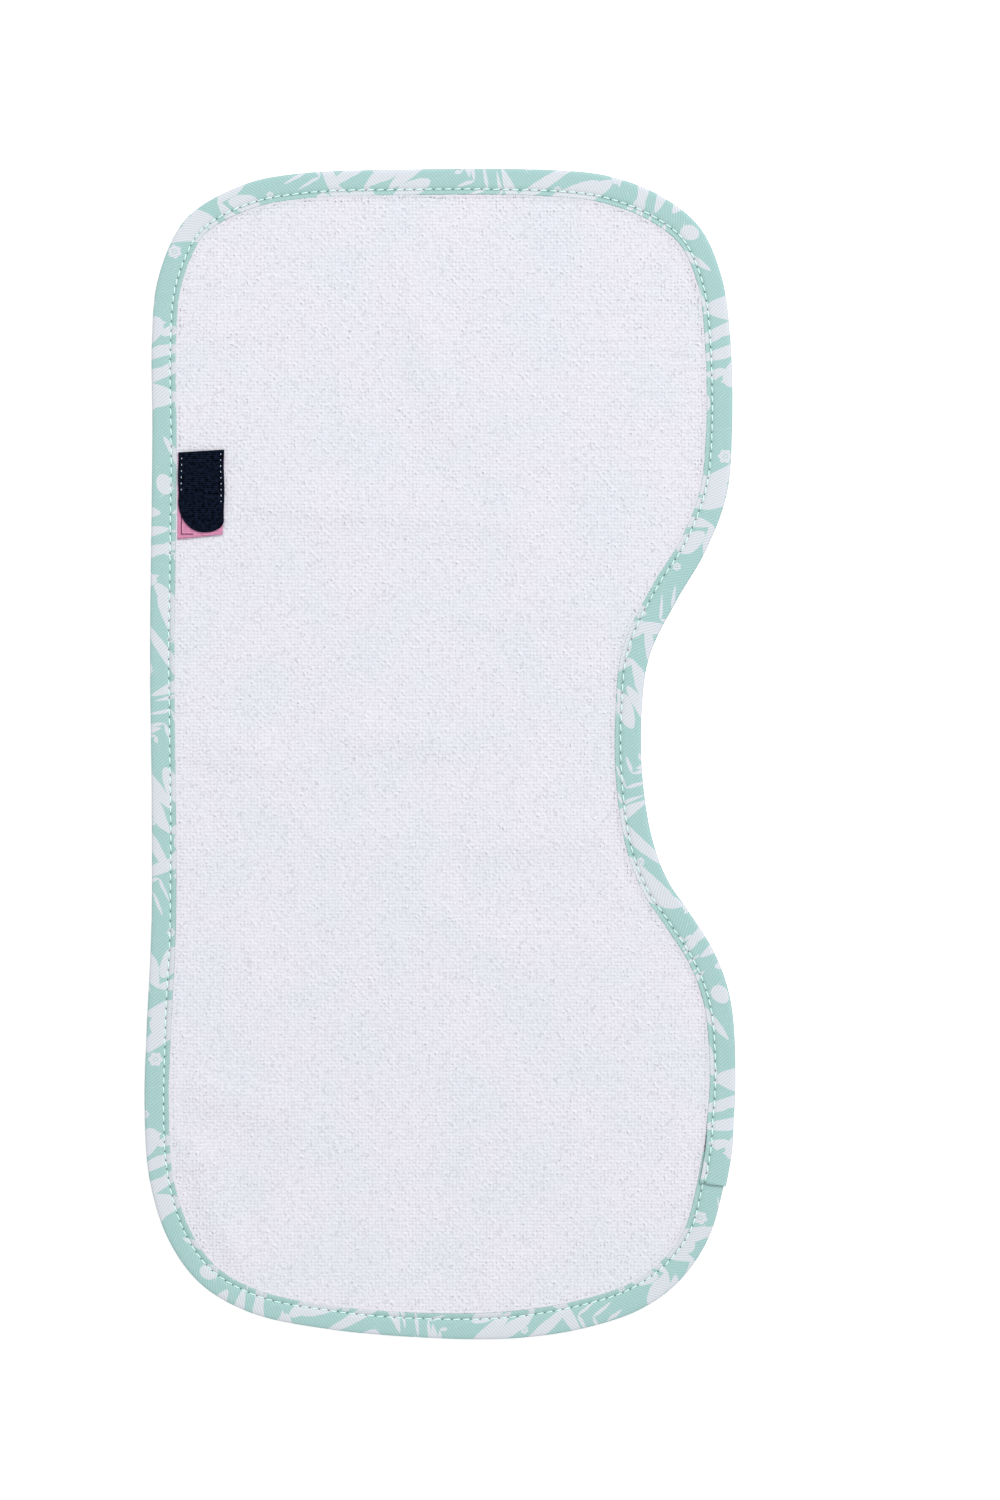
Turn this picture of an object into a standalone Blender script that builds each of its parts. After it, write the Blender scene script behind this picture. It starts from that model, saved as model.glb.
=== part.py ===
"""A contoured burp cloth lying flat: looped terry, bound all round in bias tape, with a small woven label.

Metres, +Z up, the head of the cloth towards +Y. The origin is the middle of the cloth's outline, on the
surface that it lies on.
"""
import math

import bmesh
import bpy
from mathutils import Vector

MM = 0.001

LENGTH = 0.508           # from foot to head, over the tape

# Thicknesses, in metres
FIELD_THICK = 0.0026     # the terry with its loops standing
RIM_THICK = 0.0011       # the terry where the tape presses it
TAPE_THICK = 0.00055     # one folded face of the tape, two plies of cotton
LABEL_THICK = 0.0004     # a woven label
GAP = 0.0003             # between pieces that touch
RIM_GAP = 0.0004         # between the terry's rim and the tape, which also takes up the facets' unevenness
LAP_GAP = 0.00035        # between the two ends of the tape

# The terry's edge inside the tape, each measured inwards from the tape's outer edge
CUT_EDGE_INSET = 0.0012
RELEASE_BEYOND_TAPE = 0.00035   # past the tape's inner edge, where the terry starts to rise
FIELD_BEYOND_TAPE = 0.0018      # past the tape's inner edge, where it has its whole thickness

# The tape's own fold
BEND_RADIUS = 0.0015
TAPE_EDGE_ROUND = 0.00016
BEND_STEPS = 6
SHARP_ANGLE = math.radians(40)

# The lap, where the tape's end lies over its start
LAP_CORNER_DISTANCE = 0.0458   # from the lower right corner up to the tape's end
LAP_LENGTH = 0.014             # how much of the start lies under the end
LAP_STEP = TAPE_THICK + LAP_GAP    # how far the end stands off the start
LAP_RAMP = 0.017               # over which the end rises to that
LAP_FADE = 0.036               # over which the cloth sinks back round the lap
LAP_LEVEL = 0.002              # how far past the lap the cloth stays level
LAP_START_CLEAR = 0.0012       # the end has risen this far before the start begins
LAP_SKEW = 0.0014              # how much further along the tape's end is cut at its inner edge
LAP_STATION_CLEAR = 0.004      # no shared step lies closer to the lap's own steps

# Steps round the edge and across the field, and the length over which the edge's direction is read
SHORT_STEPS = 24    # along the foot and along the head
LONG_STEPS = 46     # along each long side
CURVE_STEPS = 16    # between two points of the outline
RAMP_STEPS = 4      # along the tape's rise at its lap
TANGENT_SPAN = 0.002

# The finished edge, clockwise from the lower right corner. Each side starts at a corner's middle.
# Columns: x and y of the tape's outer edge, and the width of the tape, all in millimetres.
OUTLINE = {
    "foot": [
        (104.0, -228.5, 11.8), (86.7, -241.0, 12.3), (60.7, -249.5, 12.4), (30.3, -253.6, 11.9),
        (-6.5, -253.2, 10.8), (-49.9, -249.3, 10.4), (-82.4, -242.3, 10.4)],
    "left side": [
        (-104.0, -229.8, 10.2), (-117.9, -210.7, 10.4), (-126.1, -184.7, 10.5), (-128.3, -152.2, 10.6),
        (-127.4, -119.6, 10.6), (-125.3, -74.1, 10.6), (-125.2, -19.9, 10.5), (-125.9, 42.9, 10.7),
        (-124.9, 140.5, 10.6), (-125.1, 179.5, 10.6), (-122.7, 205.5, 10.7)],
    "head": [
        (-113.5, 228.5, 10.7), (-104.0, 238.0, 10.8), (-82.4, 248.4, 11.2), (-60.7, 252.3, 11.3),
        (-17.3, 254.0, 11.3), (47.7, 253.8, 11.6), (73.7, 251.0, 12.1)],
    "right side": [
        (96.2, 242.3, 12.0), (112.7, 228.9, 11.5), (122.2, 207.6, 11.0), (126.1, 179.5, 11.2),
        (126.8, 140.5, 11.4), (124.4, 112.7, 11.8), (115.3, 88.4, 11.9), (102.7, 66.8, 12.5),
        (91.0, 42.9, 12.2), (87.6, 19.1, 11.4), (88.0, -11.3, 11.6), (92.3, -37.3, 12.0),
        (98.8, -54.6, 12.0), (107.5, -67.6, 11.9), (119.2, -86.3, 11.9), (126.1, -106.6, 11.7),
        (128.3, -139.2, 11.2), (127.0, -163.0, 11.7), (122.7, -189.0, 11.6), (116.2, -210.7, 11.3)],
}

# Soft folds where the cloth stands off the surface. Columns: the two ends of the crest, x and y, then how
# far it rises at each end and how far it spreads to each side, all in millimetres.
FOLDS = [
    (-75.0, 111.0, 38.0, 102.0, 0.9, 0.5, 15.0),
    (-98.0, 3.0, -64.0, -3.0, 1.2, 0.5, 15.0),
    (-38.0, 9.5, 2.0, 6.0, 0.8, 0.9, 15.0),
    (12.0, 61.5, 64.0, 63.5, 0.6, 0.7, 15.0),
    (-50.0, -35.5, -20.0, -38.5, 0.6, 0.6, 15.0),
    (16.0, -37.5, 62.0, -34.5, 0.8, 0.9, 15.0),
    (-8.0, -64.0, 36.0, -86.0, 0.4, 0.6, 16.0),
    (-100.0, -149.0, -63.0, -158.0, 1.4, 0.9, 15.0),
    (-106.0, -177.0, -89.0, -214.0, 1.5, 1.2, 13.0),
    (-14.0, 203.0, 5.0, 146.0, 0.8, 0.9, 17.0),
    (-97.0, 184.0, -84.0, 185.0, 0.5, 0.4, 15.0),
]

# How the crests wander from straight lines, in millimetres
FOLD_WANDER = 1.6
FOLD_WANDER_WAVE = 74.0

# The unevenness of the terry's top. Columns: wavelength along x and along y, phase, and height, with
# lengths in millimetres.
UNEVENNESS = [
    (119.0, 163.0, 0.4, 0.08),
    (-121.0, 170.0, 2.1, 0.08),
    (260.0, -360.0, 0.0, 0.10),
]

# The label, x and y of its corners in millimetres, from the lower left, anticlockwise
LABEL_BASE_CORNERS = [(-113.8, 93.1), (-94.2, 95.2), (-93.6, 131.3), (-113.6, 130.3)]
LABEL_TAB_TOP = [(-113.4, 130.7), (-93.5, 131.9)]     # its left and right top corners
LABEL_TAB_SIDES = (21.4, 30.6)                        # straight length of its left and right side
LABEL_TAB_END_DROP = (11.9, 6.5)                      # how far the round end reaches past them
LABEL_COLUMNS = 12
LABEL_ROWS = 8


def clear_scene():
    for old in list(bpy.data.objects):
        bpy.data.objects.remove(old, do_unlink=True)


def smoothstep(t):
    t = min(max(t, 0.0), 1.0)
    return t * t * (3.0 - 2.0 * t)


def spline_point(p0, p1, p2, p3, t):
    """A point between p1 and p2 on the centripetal Catmull-Rom curve through four points."""
    k0 = 0.0
    k1 = k0 + math.sqrt((p1 - p0).xy.length)
    k2 = k1 + math.sqrt((p2 - p1).xy.length)
    k3 = k2 + math.sqrt((p3 - p2).xy.length)
    k = k1 + (k2 - k1) * t
    a1 = p0 * ((k1 - k) / (k1 - k0)) + p1 * ((k - k0) / (k1 - k0))
    a2 = p1 * ((k2 - k) / (k2 - k1)) + p2 * ((k - k1) / (k2 - k1))
    a3 = p2 * ((k3 - k) / (k3 - k2)) + p3 * ((k - k2) / (k3 - k2))
    b1 = a1 * ((k2 - k) / (k2 - k0)) + a2 * ((k - k0) / (k2 - k0))
    b2 = a2 * ((k3 - k) / (k3 - k1)) + a3 * ((k - k1) / (k3 - k1))
    return b1 * ((k2 - k) / (k2 - k1)) + b2 * ((k - k1) / (k2 - k1))


class Edge:
    """The cloth's finished edge as a closed curve, read by its length clockwise from the lower right corner."""

    def __init__(self):
        rows = [Vector(row) * MM for side in OUTLINE.values() for row in side]
        count = len(rows)
        self.points = []
        for i in range(count):
            around = [rows[(i + j) % count] for j in (-1, 0, 1, 2)]
            self.points += [spline_point(*around, k / CURVE_STEPS) for k in range(CURVE_STEPS)]
        xs = [p.x for p in self.points]
        ys = [p.y for p in self.points]
        middle = Vector(((min(xs) + max(xs)) / 2, (min(ys) + max(ys)) / 2, 0.0))
        scale = LENGTH / (max(ys) - min(ys))
        self.points = [(p - middle) * scale for p in self.points]
        self.points.append(self.points[0])
        self.at = [0.0]
        for a, b in zip(self.points, self.points[1:]):
            self.at.append(self.at[-1] + (b - a).xy.length)
        self.length = self.at[-1]
        starts = [0]
        for side in OUTLINE.values():
            starts.append(starts[-1] + len(side) * CURVE_STEPS)
        self.side_starts = [self.at[i] for i in starts]

    def row(self, s):
        """x, y and the tape's width at the length s."""
        s = s % self.length
        low, high = 0, len(self.at) - 1
        while high - low > 1:
            mid = (low + high) // 2
            if self.at[mid] <= s:
                low = mid
            else:
                high = mid
        share = (s - self.at[low]) / (self.at[high] - self.at[low])
        return self.points[low].lerp(self.points[high], share)

    def inward(self, s):
        """The direction in the plane that points into the cloth, square to the edge."""
        along = (self.row(s + TANGENT_SPAN) - self.row(s - TANGENT_SPAN)).xy.normalized()
        return Vector((along.y, -along.x))

    def inset(self, s, depth):
        """The point at the length s, moved into the cloth by depth."""
        return self.row(s).xy + self.inward(s) * depth

    def tape_width(self, s):
        return self.row(s).z


edge = Edge()
LAP_END = edge.length - LAP_CORNER_DISTANCE
LAP_START = LAP_END - LAP_LENGTH
RAMP_START = LAP_START - LAP_START_CLEAR - LAP_RAMP
lap_middle = edge.inset((LAP_START + LAP_END) / 2, edge.tape_width(LAP_END) / 2)
lap_inward = edge.inward((LAP_START + LAP_END) / 2)
lap_along = Vector((-lap_inward.y, lap_inward.x))


def lap_lift(place):
    """How far the tape's end, folded round its start, holds the cloth up near the lap."""
    from_middle = place - lap_middle
    beyond_end = max(abs(from_middle.dot(lap_along)) - LAP_LENGTH / 2 - LAP_LEVEL, 0.0)
    beyond_side = max(abs(from_middle.dot(lap_inward)) - edge.tape_width(LAP_END) / 2 - LAP_LEVEL, 0.0)
    away = math.hypot(beyond_end, beyond_side)
    return LAP_STEP * (1.0 - smoothstep(away / LAP_FADE))


def fold_lift(place):
    """How far the soft folds hold the cloth off the surface."""
    turns = place * (math.tau / (FOLD_WANDER_WAVE * MM))
    bent = place + Vector((math.sin(turns.y), math.sin(turns.x))) * FOLD_WANDER * MM
    rise = 0.0
    for x0, y0, x1, y1, first, last, spread in FOLDS:
        start = Vector((x0, y0)) * MM
        crest = Vector((x1, y1)) * MM - start
        share = (bent - start).dot(crest) / crest.length_squared
        share = min(max(share, 0.0), 1.0)
        away = (bent - start - crest * share).length
        height = first + (last - first) * share
        rise += height * MM * (1.0 - smoothstep(away / (spread * MM)))
    return rise


def lift(place):
    return fold_lift(place) + lap_lift(place)


def unevenness(place):
    """How far the terry's top stands above or below its mean height."""
    height = 0.0
    for wave_x, wave_y, phase, rise in UNEVENNESS:
        turns = place.x / (wave_x * MM) + place.y / (wave_y * MM)
        height += rise * MM * math.sin(math.tau * turns + phase)
    return height


def edge_stations():
    """Lengths round the edge, evenly spaced along each side, from the lower right corner."""
    stations = []
    for side, steps in enumerate((SHORT_STEPS, LONG_STEPS, SHORT_STEPS, LONG_STEPS)):
        first = edge.side_starts[side]
        last = edge.side_starts[side + 1]
        stations += [first + (last - first) * k / steps for k in range(steps)]
    return stations


STATIONS = edge_stations()

# Heights through the bound rim, from the surface up
TAPE_UNDER_TOP = TAPE_THICK
RIM_BOTTOM = TAPE_UNDER_TOP + RIM_GAP
RIM_TOP = RIM_BOTTOM + RIM_THICK
TAPE_OVER_BOTTOM = RIM_TOP + RIM_GAP
TAPE_TOP = TAPE_OVER_BOTTOM + TAPE_THICK
TAPE_MIDDLE = TAPE_TOP / 2


def finish(name, bm, color, roughness):
    """Turns a bmesh into a named object with its own material, in the cloth's collection."""
    bmesh.ops.recalc_face_normals(bm, faces=bm.faces)
    mesh = bpy.data.meshes.new(name)
    bm.to_mesh(mesh)
    bm.free()
    mesh.shade_smooth()
    mesh.set_sharp_from_angle(angle=SHARP_ANGLE)
    material = bpy.data.materials.new(name)
    material.use_nodes = True
    surface = material.node_tree.nodes["Principled BSDF"]
    surface.inputs["Base Color"].default_value = (*color, 1.0)
    surface.inputs["Roughness"].default_value = roughness
    mesh.materials.append(material)
    made = bpy.data.objects.new(name, mesh)
    collection.objects.link(made)
    return made


def patch_point(u, v, corners, ring):
    """A point inside a ring of edge points, blended from its four sides. u runs to +X and v to +Y."""
    foot = ring(0, 1.0 - u)
    left = ring(1, v)
    head = ring(2, u)
    right = ring(3, 1.0 - v)
    low_right, low_left, high_left, high_right = corners
    across = left.lerp(right, u)
    along = foot.lerp(head, v)
    skew = low_left.lerp(low_right, u).lerp(high_left.lerp(high_right, u), v)
    return across + along - skew


def make_terry():
    """The terry: a field mapped to the outline, two rim rings, then its thickness."""
    def field_edge(side, share):
        first = edge.side_starts[side]
        s = first + (edge.side_starts[side + 1] - first) * share
        return edge.inset(s, edge.tape_width(s) + FIELD_BEYOND_TAPE)

    corners = [field_edge(side, 0.0) for side in range(4)]
    bm = bmesh.new()
    ring_of = bm.verts.layers.int.new("ring")
    station_of = bm.verts.layers.int.new("station")
    bmesh.ops.create_grid(bm, x_segments=SHORT_STEPS, y_segments=LONG_STEPS, size=1.0)
    for vert in bm.verts:
        column = round((vert.co.x + 1.0) / 2.0 * SHORT_STEPS)
        row = round((vert.co.y + 1.0) / 2.0 * LONG_STEPS)
        if row == 0:
            vert[station_of] = (SHORT_STEPS - column) % len(STATIONS)
        elif column == 0:
            vert[station_of] = SHORT_STEPS + row
        elif row == LONG_STEPS:
            vert[station_of] = SHORT_STEPS + LONG_STEPS + column
        elif column == SHORT_STEPS:
            vert[station_of] = len(STATIONS) - row
        vert.co.xy = patch_point(column / SHORT_STEPS, row / LONG_STEPS, corners, field_edge)

    for ring in (1, 2):
        border = [e for e in bm.edges if e.is_boundary]
        grown = bmesh.ops.extrude_edge_only(bm, edges=border)["geom"]
        for vert in (g for g in grown if isinstance(g, bmesh.types.BMVert)):
            vert[ring_of] = ring
            s = STATIONS[vert[station_of]]
            released = edge.tape_width(s) + RELEASE_BEYOND_TAPE
            vert.co.xy = edge.inset(s, released if ring == 1 else CUT_EDGE_INSET)

    over = bmesh.ops.extrude_face_region(bm, geom=bm.faces[:], use_keep_orig=True)["geom"]
    top = {g for g in over if isinstance(g, bmesh.types.BMVert)}
    for vert in bm.verts:
        in_field = vert[ring_of] == 0
        if vert in top:
            height = FIELD_THICK + unevenness(vert.co.xy) if in_field else RIM_TOP
        else:
            height = 0.0 if in_field else RIM_BOTTOM
        vert.co.z = height + lift(vert.co.xy)
    return finish("terry_panel", bm, (0.79, 0.80, 0.87), 0.95)


def bend_arc(depth_radius, height_radius):
    """Half an ellipse round the tape's bend, from below to above: depth, height and outward direction."""
    arc = []
    for k in range(BEND_STEPS + 1):
        angle = math.pi * (k / BEND_STEPS - 0.5)
        depth = BEND_RADIUS - depth_radius * math.cos(angle)
        height = TAPE_MIDDLE + height_radius * math.sin(angle)
        arc.append((depth, height, -math.cos(angle), math.sin(angle)))
    return arc


def tape_profile(width, stand_off):
    """The folded tape's section as (depth into the cloth, height), stood off by what lies under it.

    Where it stands off, its bend moves out past the start's bend and its inner edges draw back as far.
    """
    under_edge = [(width - TAPE_EDGE_ROUND, 0.0), (width, TAPE_EDGE_ROUND), (width, TAPE_THICK)]
    over_edge = [(depth, TAPE_TOP - height) for depth, height in reversed(under_edge)]
    section = [(depth, height, -1, -1) for depth, height in under_edge]
    section += bend_arc(BEND_RADIUS - TAPE_THICK, TAPE_MIDDLE - TAPE_THICK)
    section += [(depth, height, -1, 1) for depth, height in over_edge]
    section += reversed(bend_arc(BEND_RADIUS, TAPE_MIDDLE))
    return [(depth + stand_off * out, height + stand_off * up) for depth, height, out, up in section]


def tape_stations():
    """Lengths along the tape, from its covered start, once round, to its lapped end."""
    first = LAP_START - edge.length
    under = [first, first + LAP_LENGTH / 2, first + LAP_LENGTH]
    shared = [s - edge.length for s in STATIONS] + STATIONS
    shared = [s for s in shared if under[-1] + LAP_STATION_CLEAR < s < RAMP_START - LAP_STATION_CLEAR]
    ramp = [RAMP_START + LAP_RAMP * k / RAMP_STEPS for k in range(RAMP_STEPS + 1)]
    over = [LAP_START + LAP_LENGTH / 2, LAP_END]
    return under + shared + ramp + over


def tape_section(s):
    """The tape's section at the length s, as points in space."""
    stand_off = LAP_STEP * smoothstep((s - RAMP_START) / LAP_RAMP)
    ring = []
    width = edge.tape_width(s)
    for depth, height in tape_profile(width, stand_off):
        skew = LAP_SKEW * (depth / width - 0.5) if s == LAP_END else 0.0
        place = edge.inset(s + skew, depth)
        ring.append(Vector((place.x, place.y, height + lift(place))))
    return ring


def make_binding():
    """The bias tape: its folded section drawn along the edge, with its end lapped over its start."""
    stations = tape_stations()
    bm = bmesh.new()
    verts = [bm.verts.new(co) for co in tape_section(stations[0])]
    front = [bm.edges.new((a, b)) for a, b in zip(verts, verts[1:] + verts[:1])]
    start_edges = list(front)
    for s in stations[1:]:
        grown = bmesh.ops.extrude_edge_only(bm, edges=front)["geom"]
        moved = {v for v in grown if isinstance(v, bmesh.types.BMVert)}
        front = [e for e in grown if isinstance(e, bmesh.types.BMEdge) and set(e.verts) <= moved]
        verts = [next(e.other_vert(v) for e in v.link_edges if e.other_vert(v) in moved) for v in verts]
        for vert, co in zip(verts, tape_section(s)):
            vert.co = co
    for rim in (start_edges, front):
        cap = bmesh.ops.holes_fill(bm, edges=rim, sides=len(rim))["faces"]
        bmesh.ops.triangulate(bm, faces=cap)
    return finish("edge_binding", bm, (0.40, 0.69, 0.63), 0.85)


def make_label_plate(name, place_at, base, color):
    """A thin woven plate on the terry: a grid, closer at its sides, put in its outline and thickened."""
    bm = bmesh.new()
    bmesh.ops.create_grid(bm, x_segments=LABEL_COLUMNS, y_segments=LABEL_ROWS, size=1.0)
    for vert in bm.verts:
        u = (1.0 + math.sin(math.pi / 2.0 * vert.co.x)) / 2.0
        vert.co.xy = place_at(u, (vert.co.y + 1.0) / 2.0)
    over = bmesh.ops.extrude_face_region(bm, geom=bm.faces[:], use_keep_orig=True)["geom"]
    top = {g for g in over if isinstance(g, bmesh.types.BMVert)}
    for vert in bm.verts:
        thick = LABEL_THICK if vert in top else 0.0
        vert.co.z = base + thick + unevenness(vert.co.xy) + lift(vert.co.xy)
    return finish(name, bm, color, 0.7)


def base_place(u, v):
    low_left, low_right, high_right, high_left = (Vector(c) * MM for c in LABEL_BASE_CORNERS)
    return low_left.lerp(low_right, u).lerp(high_left.lerp(high_right, u), v)


def tab_place(u, v):
    top = Vector(LABEL_TAB_TOP[0]).lerp(Vector(LABEL_TAB_TOP[1]), u)
    side = LABEL_TAB_SIDES[0] + (LABEL_TAB_SIDES[1] - LABEL_TAB_SIDES[0]) * u
    drop = LABEL_TAB_END_DROP[0] + (LABEL_TAB_END_DROP[1] - LABEL_TAB_END_DROP[0]) * u
    reach = side + drop * math.sqrt(max(1.0 - (2.0 * u - 1.0) ** 2, 0.0))
    return (top - Vector((0.0, reach * (1.0 - v)))) * MM


clear_scene()
collection = bpy.data.collections.new("burp_cloth")
bpy.context.scene.collection.children.link(collection)
LABEL_BASE_Z = FIELD_THICK + GAP
LABEL_TAB_Z = LABEL_BASE_Z + LABEL_THICK + GAP
make_terry()
make_binding()
make_label_plate("label_base", base_place, LABEL_BASE_Z, (0.69, 0.26, 0.43))
make_label_plate("label_tab", tab_place, LABEL_TAB_Z, (0.006, 0.01, 0.02))
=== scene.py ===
"""The looks of a contoured burp cloth that lies flat: looped terry, bound in printed bias tape, with a label.

Metres, +Z up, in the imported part's own frame. The head of the cloth is towards +Y.
"""
import bisect
import functools
import math
import random

import bmesh
import bpy
from mathutils import Matrix, Vector, kdtree, noise


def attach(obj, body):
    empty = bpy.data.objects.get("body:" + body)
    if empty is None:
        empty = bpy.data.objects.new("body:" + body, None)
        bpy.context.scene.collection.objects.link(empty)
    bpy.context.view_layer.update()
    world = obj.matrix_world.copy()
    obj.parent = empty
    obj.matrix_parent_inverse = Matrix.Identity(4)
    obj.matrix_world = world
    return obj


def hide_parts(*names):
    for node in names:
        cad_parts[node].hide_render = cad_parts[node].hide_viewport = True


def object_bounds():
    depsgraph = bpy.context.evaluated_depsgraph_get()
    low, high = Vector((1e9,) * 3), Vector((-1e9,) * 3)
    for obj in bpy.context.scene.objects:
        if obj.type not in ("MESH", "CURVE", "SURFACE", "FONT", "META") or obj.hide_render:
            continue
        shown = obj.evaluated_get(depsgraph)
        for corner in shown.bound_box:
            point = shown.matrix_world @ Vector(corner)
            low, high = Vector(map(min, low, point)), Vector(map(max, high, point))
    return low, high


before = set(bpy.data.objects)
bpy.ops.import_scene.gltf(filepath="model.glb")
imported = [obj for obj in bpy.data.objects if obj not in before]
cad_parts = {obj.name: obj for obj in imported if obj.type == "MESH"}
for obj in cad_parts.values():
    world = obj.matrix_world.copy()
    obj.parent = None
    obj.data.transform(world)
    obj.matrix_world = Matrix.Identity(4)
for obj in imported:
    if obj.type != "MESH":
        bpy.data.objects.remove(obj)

cad_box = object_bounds()

# The terry's ground
# The cloth is a double-looped cotton terry, woven white and cut to its contour. This is the woven ground
# that its loops stand on: a soft sheet in shallow folds, with its rim pressed thin inside the tape.
MM = 0.001
GROUND_THICK = 0.0021           # the weave with the roots of its loops
PILE_TOP = 0.0026               # the tips of the loops, where the cloth lies flat
RIM_THICK = 0.0010
CUT_EDGE_INSET = 0.0012         # from the tape's outer edge to the terry's cut edge, inside the tape
RELEASE_BEYOND_TAPE = 0.00035   # past the tape's inner edge, where the terry starts to rise
FIELD_BEYOND_TAPE = 0.0018      # past the tape's inner edge, where it has its whole thickness
GROUND_COLUMNS = 124            # squares of about 2 mm
GROUND_ROWS = 248
CURVE_STEPS = 16
TANGENT_SPAN = 0.002
COLD_WHITE = "#DBDDE5"
WARM_WHITE = "#DFDDE5"
CAST_PATCHES = 34.0             # to a metre, so each is about 30 mm across
FIBRES = 2600.0                 # to a metre: tufts of fibres 0.4 mm across, as single ones are too fine

TAPE_THICK = 0.00055            # one folded face of the tape, two plies
GAP = 0.0003                    # between pieces that touch

# The finished edge, clockwise from the lower right corner. Each side starts at a corner's middle.
# Columns: x and y of the tape's outer edge, and the width of the tape, all in millimetres.
OUTLINE = {
    "foot": [
        (104.0, -228.5, 11.8), (86.7, -241.0, 12.3), (60.7, -249.5, 12.4), (30.3, -253.6, 11.9),
        (-6.5, -253.2, 10.8), (-49.9, -249.3, 10.4), (-82.4, -242.3, 10.4)],
    "left side": [
        (-104.0, -229.8, 10.2), (-117.9, -210.7, 10.4), (-126.1, -184.7, 10.5), (-128.3, -152.2, 10.6),
        (-127.4, -119.6, 10.6), (-125.3, -74.1, 10.6), (-125.2, -19.9, 10.5), (-125.9, 42.9, 10.7),
        (-124.9, 140.5, 10.6), (-125.1, 179.5, 10.6), (-122.7, 205.5, 10.7)],
    "head": [
        (-113.5, 228.5, 10.7), (-104.0, 238.0, 10.8), (-82.4, 248.4, 11.2), (-60.7, 252.3, 11.3),
        (-17.3, 254.0, 11.3), (47.7, 253.8, 11.6), (73.7, 251.0, 12.1)],
    "right side": [
        (96.2, 242.3, 12.0), (112.7, 228.9, 11.5), (122.2, 207.6, 11.0), (126.1, 179.5, 11.2),
        (126.8, 140.5, 11.4), (124.4, 112.7, 11.8), (115.3, 88.4, 11.9), (102.7, 66.8, 12.5),
        (91.0, 42.9, 12.2), (87.6, 19.1, 11.4), (88.0, -11.3, 11.6), (92.3, -37.3, 12.0),
        (98.8, -54.6, 12.0), (107.5, -67.6, 11.9), (119.2, -86.3, 11.9), (126.1, -106.6, 11.7),
        (128.3, -139.2, 11.2), (127.0, -163.0, 11.7), (122.7, -189.0, 11.6), (116.2, -210.7, 11.3)],
}

# Soft folds where the cloth stands off the surface. Columns: the two ends of the crest, x and y, then how
# far it rises at each end and how far it spreads to each side, all in millimetres.
FOLDS = [
    (-75.0, 111.0, 38.0, 102.0, 0.9, 0.5, 15.0),
    (-98.0, 3.0, -64.0, -3.0, 1.2, 0.5, 15.0),
    (-38.0, 9.5, 2.0, 6.0, 0.8, 0.9, 15.0),
    (12.0, 61.5, 64.0, 63.5, 0.6, 0.7, 15.0),
    (-50.0, -35.5, -20.0, -38.5, 0.6, 0.6, 15.0),
    (16.0, -37.5, 62.0, -34.5, 0.8, 0.9, 15.0),
    (-8.0, -64.0, 36.0, -86.0, 0.4, 0.6, 16.0),
    (-100.0, -149.0, -63.0, -158.0, 1.4, 0.9, 15.0),
    (-106.0, -177.0, -89.0, -214.0, 1.5, 1.2, 13.0),
    (-14.0, 203.0, 5.0, 146.0, 0.8, 0.9, 17.0),
    (-97.0, 184.0, -84.0, 185.0, 0.5, 0.4, 15.0),
]

# How the crests wander from straight lines, in millimetres
FOLD_WANDER = 1.6
FOLD_WANDER_WAVE = 74.0

# Narrow creases along the folds, and small puckers that the sewing draws in beside the tape, in the same
# columns
PUCKERS = [
    (-84.0, 108.0, 36.0, 97.5, 0.22, 0.12, 4.5),
    (-112.0, -1.0, -92.0, -4.0, 0.30, 0.16, 5.0),
    (-38.0, 5.5, 0.0, 2.5, 0.14, 0.14, 5.0),
    (12.0, 58.5, 70.0, 61.0, 0.10, 0.14, 4.5),
    (18.0, -41.0, 72.0, -38.0, 0.12, 0.16, 4.5),
    (-106.0, -141.0, -62.0, -153.0, 0.45, 0.25, 6.0),
    (-107.0, -172.0, -84.0, -224.0, 0.42, 0.34, 8.0),
    (-12.0, 196.0, 6.0, 150.0, 0.16, 0.16, 6.0),
    (99.0, 222.0, 91.0, 213.0, 0.20, 0.10, 3.0),
    (108.0, 203.0, 97.0, 198.0, 0.20, 0.10, 3.2),
    (-104.0, -206.0, -95.0, -197.0, 0.25, 0.12, 3.4),
    (-97.0, -216.0, -89.0, -206.0, 0.25, 0.12, 3.4),
    (-113.0, 152.0, -104.0, 152.5, 0.25, 0.10, 4.5),
    (-113.0, 50.5, -103.0, 50.0, 0.25, 0.10, 4.5),
    (-113.0, 28.0, -103.0, 28.5, 0.25, 0.10, 4.5),
    (-112.0, -143.0, -104.0, -146.0, 0.35, 0.20, 8.0),
    (-104.0, 77.0, -92.0, 76.0, -0.35, -0.25, 15.0),
]

# Fine ripples across the terry where the tape is eased round the head's right corner, in millimetres
RIPPLE_WAVE = 5.8
RIPPLE_RISE = 0.07
RIPPLE_FROM_X = (40.0, 70.0)    # where they begin and where they are whole
RIPPLE_Y = (85.0, 120.0, 190.0, 220.0)

# The unevenness of the terry's top. Columns: wavelength along x and along y, phase, and height, with
# lengths in millimetres.
UNEVENNESS = [
    (119.0, 163.0, 0.4, 0.08),
    (-121.0, 170.0, 2.1, 0.08),
    (260.0, -360.0, 0.0, 0.10),
]

# The lap, where the tape's end lies over its start and holds the cloth up
LAP_CORNER_DISTANCE = 0.0458    # from the lower right corner up to the tape's end
LAP_LENGTH = 0.014
LAP_GAP = 0.00035               # between the two ends of the tape
LAP_STEP = TAPE_THICK + LAP_GAP
LAP_FADE = 0.036
LAP_LEVEL = 0.002


def smoothstep(t):
    t = min(max(t, 0.0), 1.0)
    return t * t * (3.0 - 2.0 * t)


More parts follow.
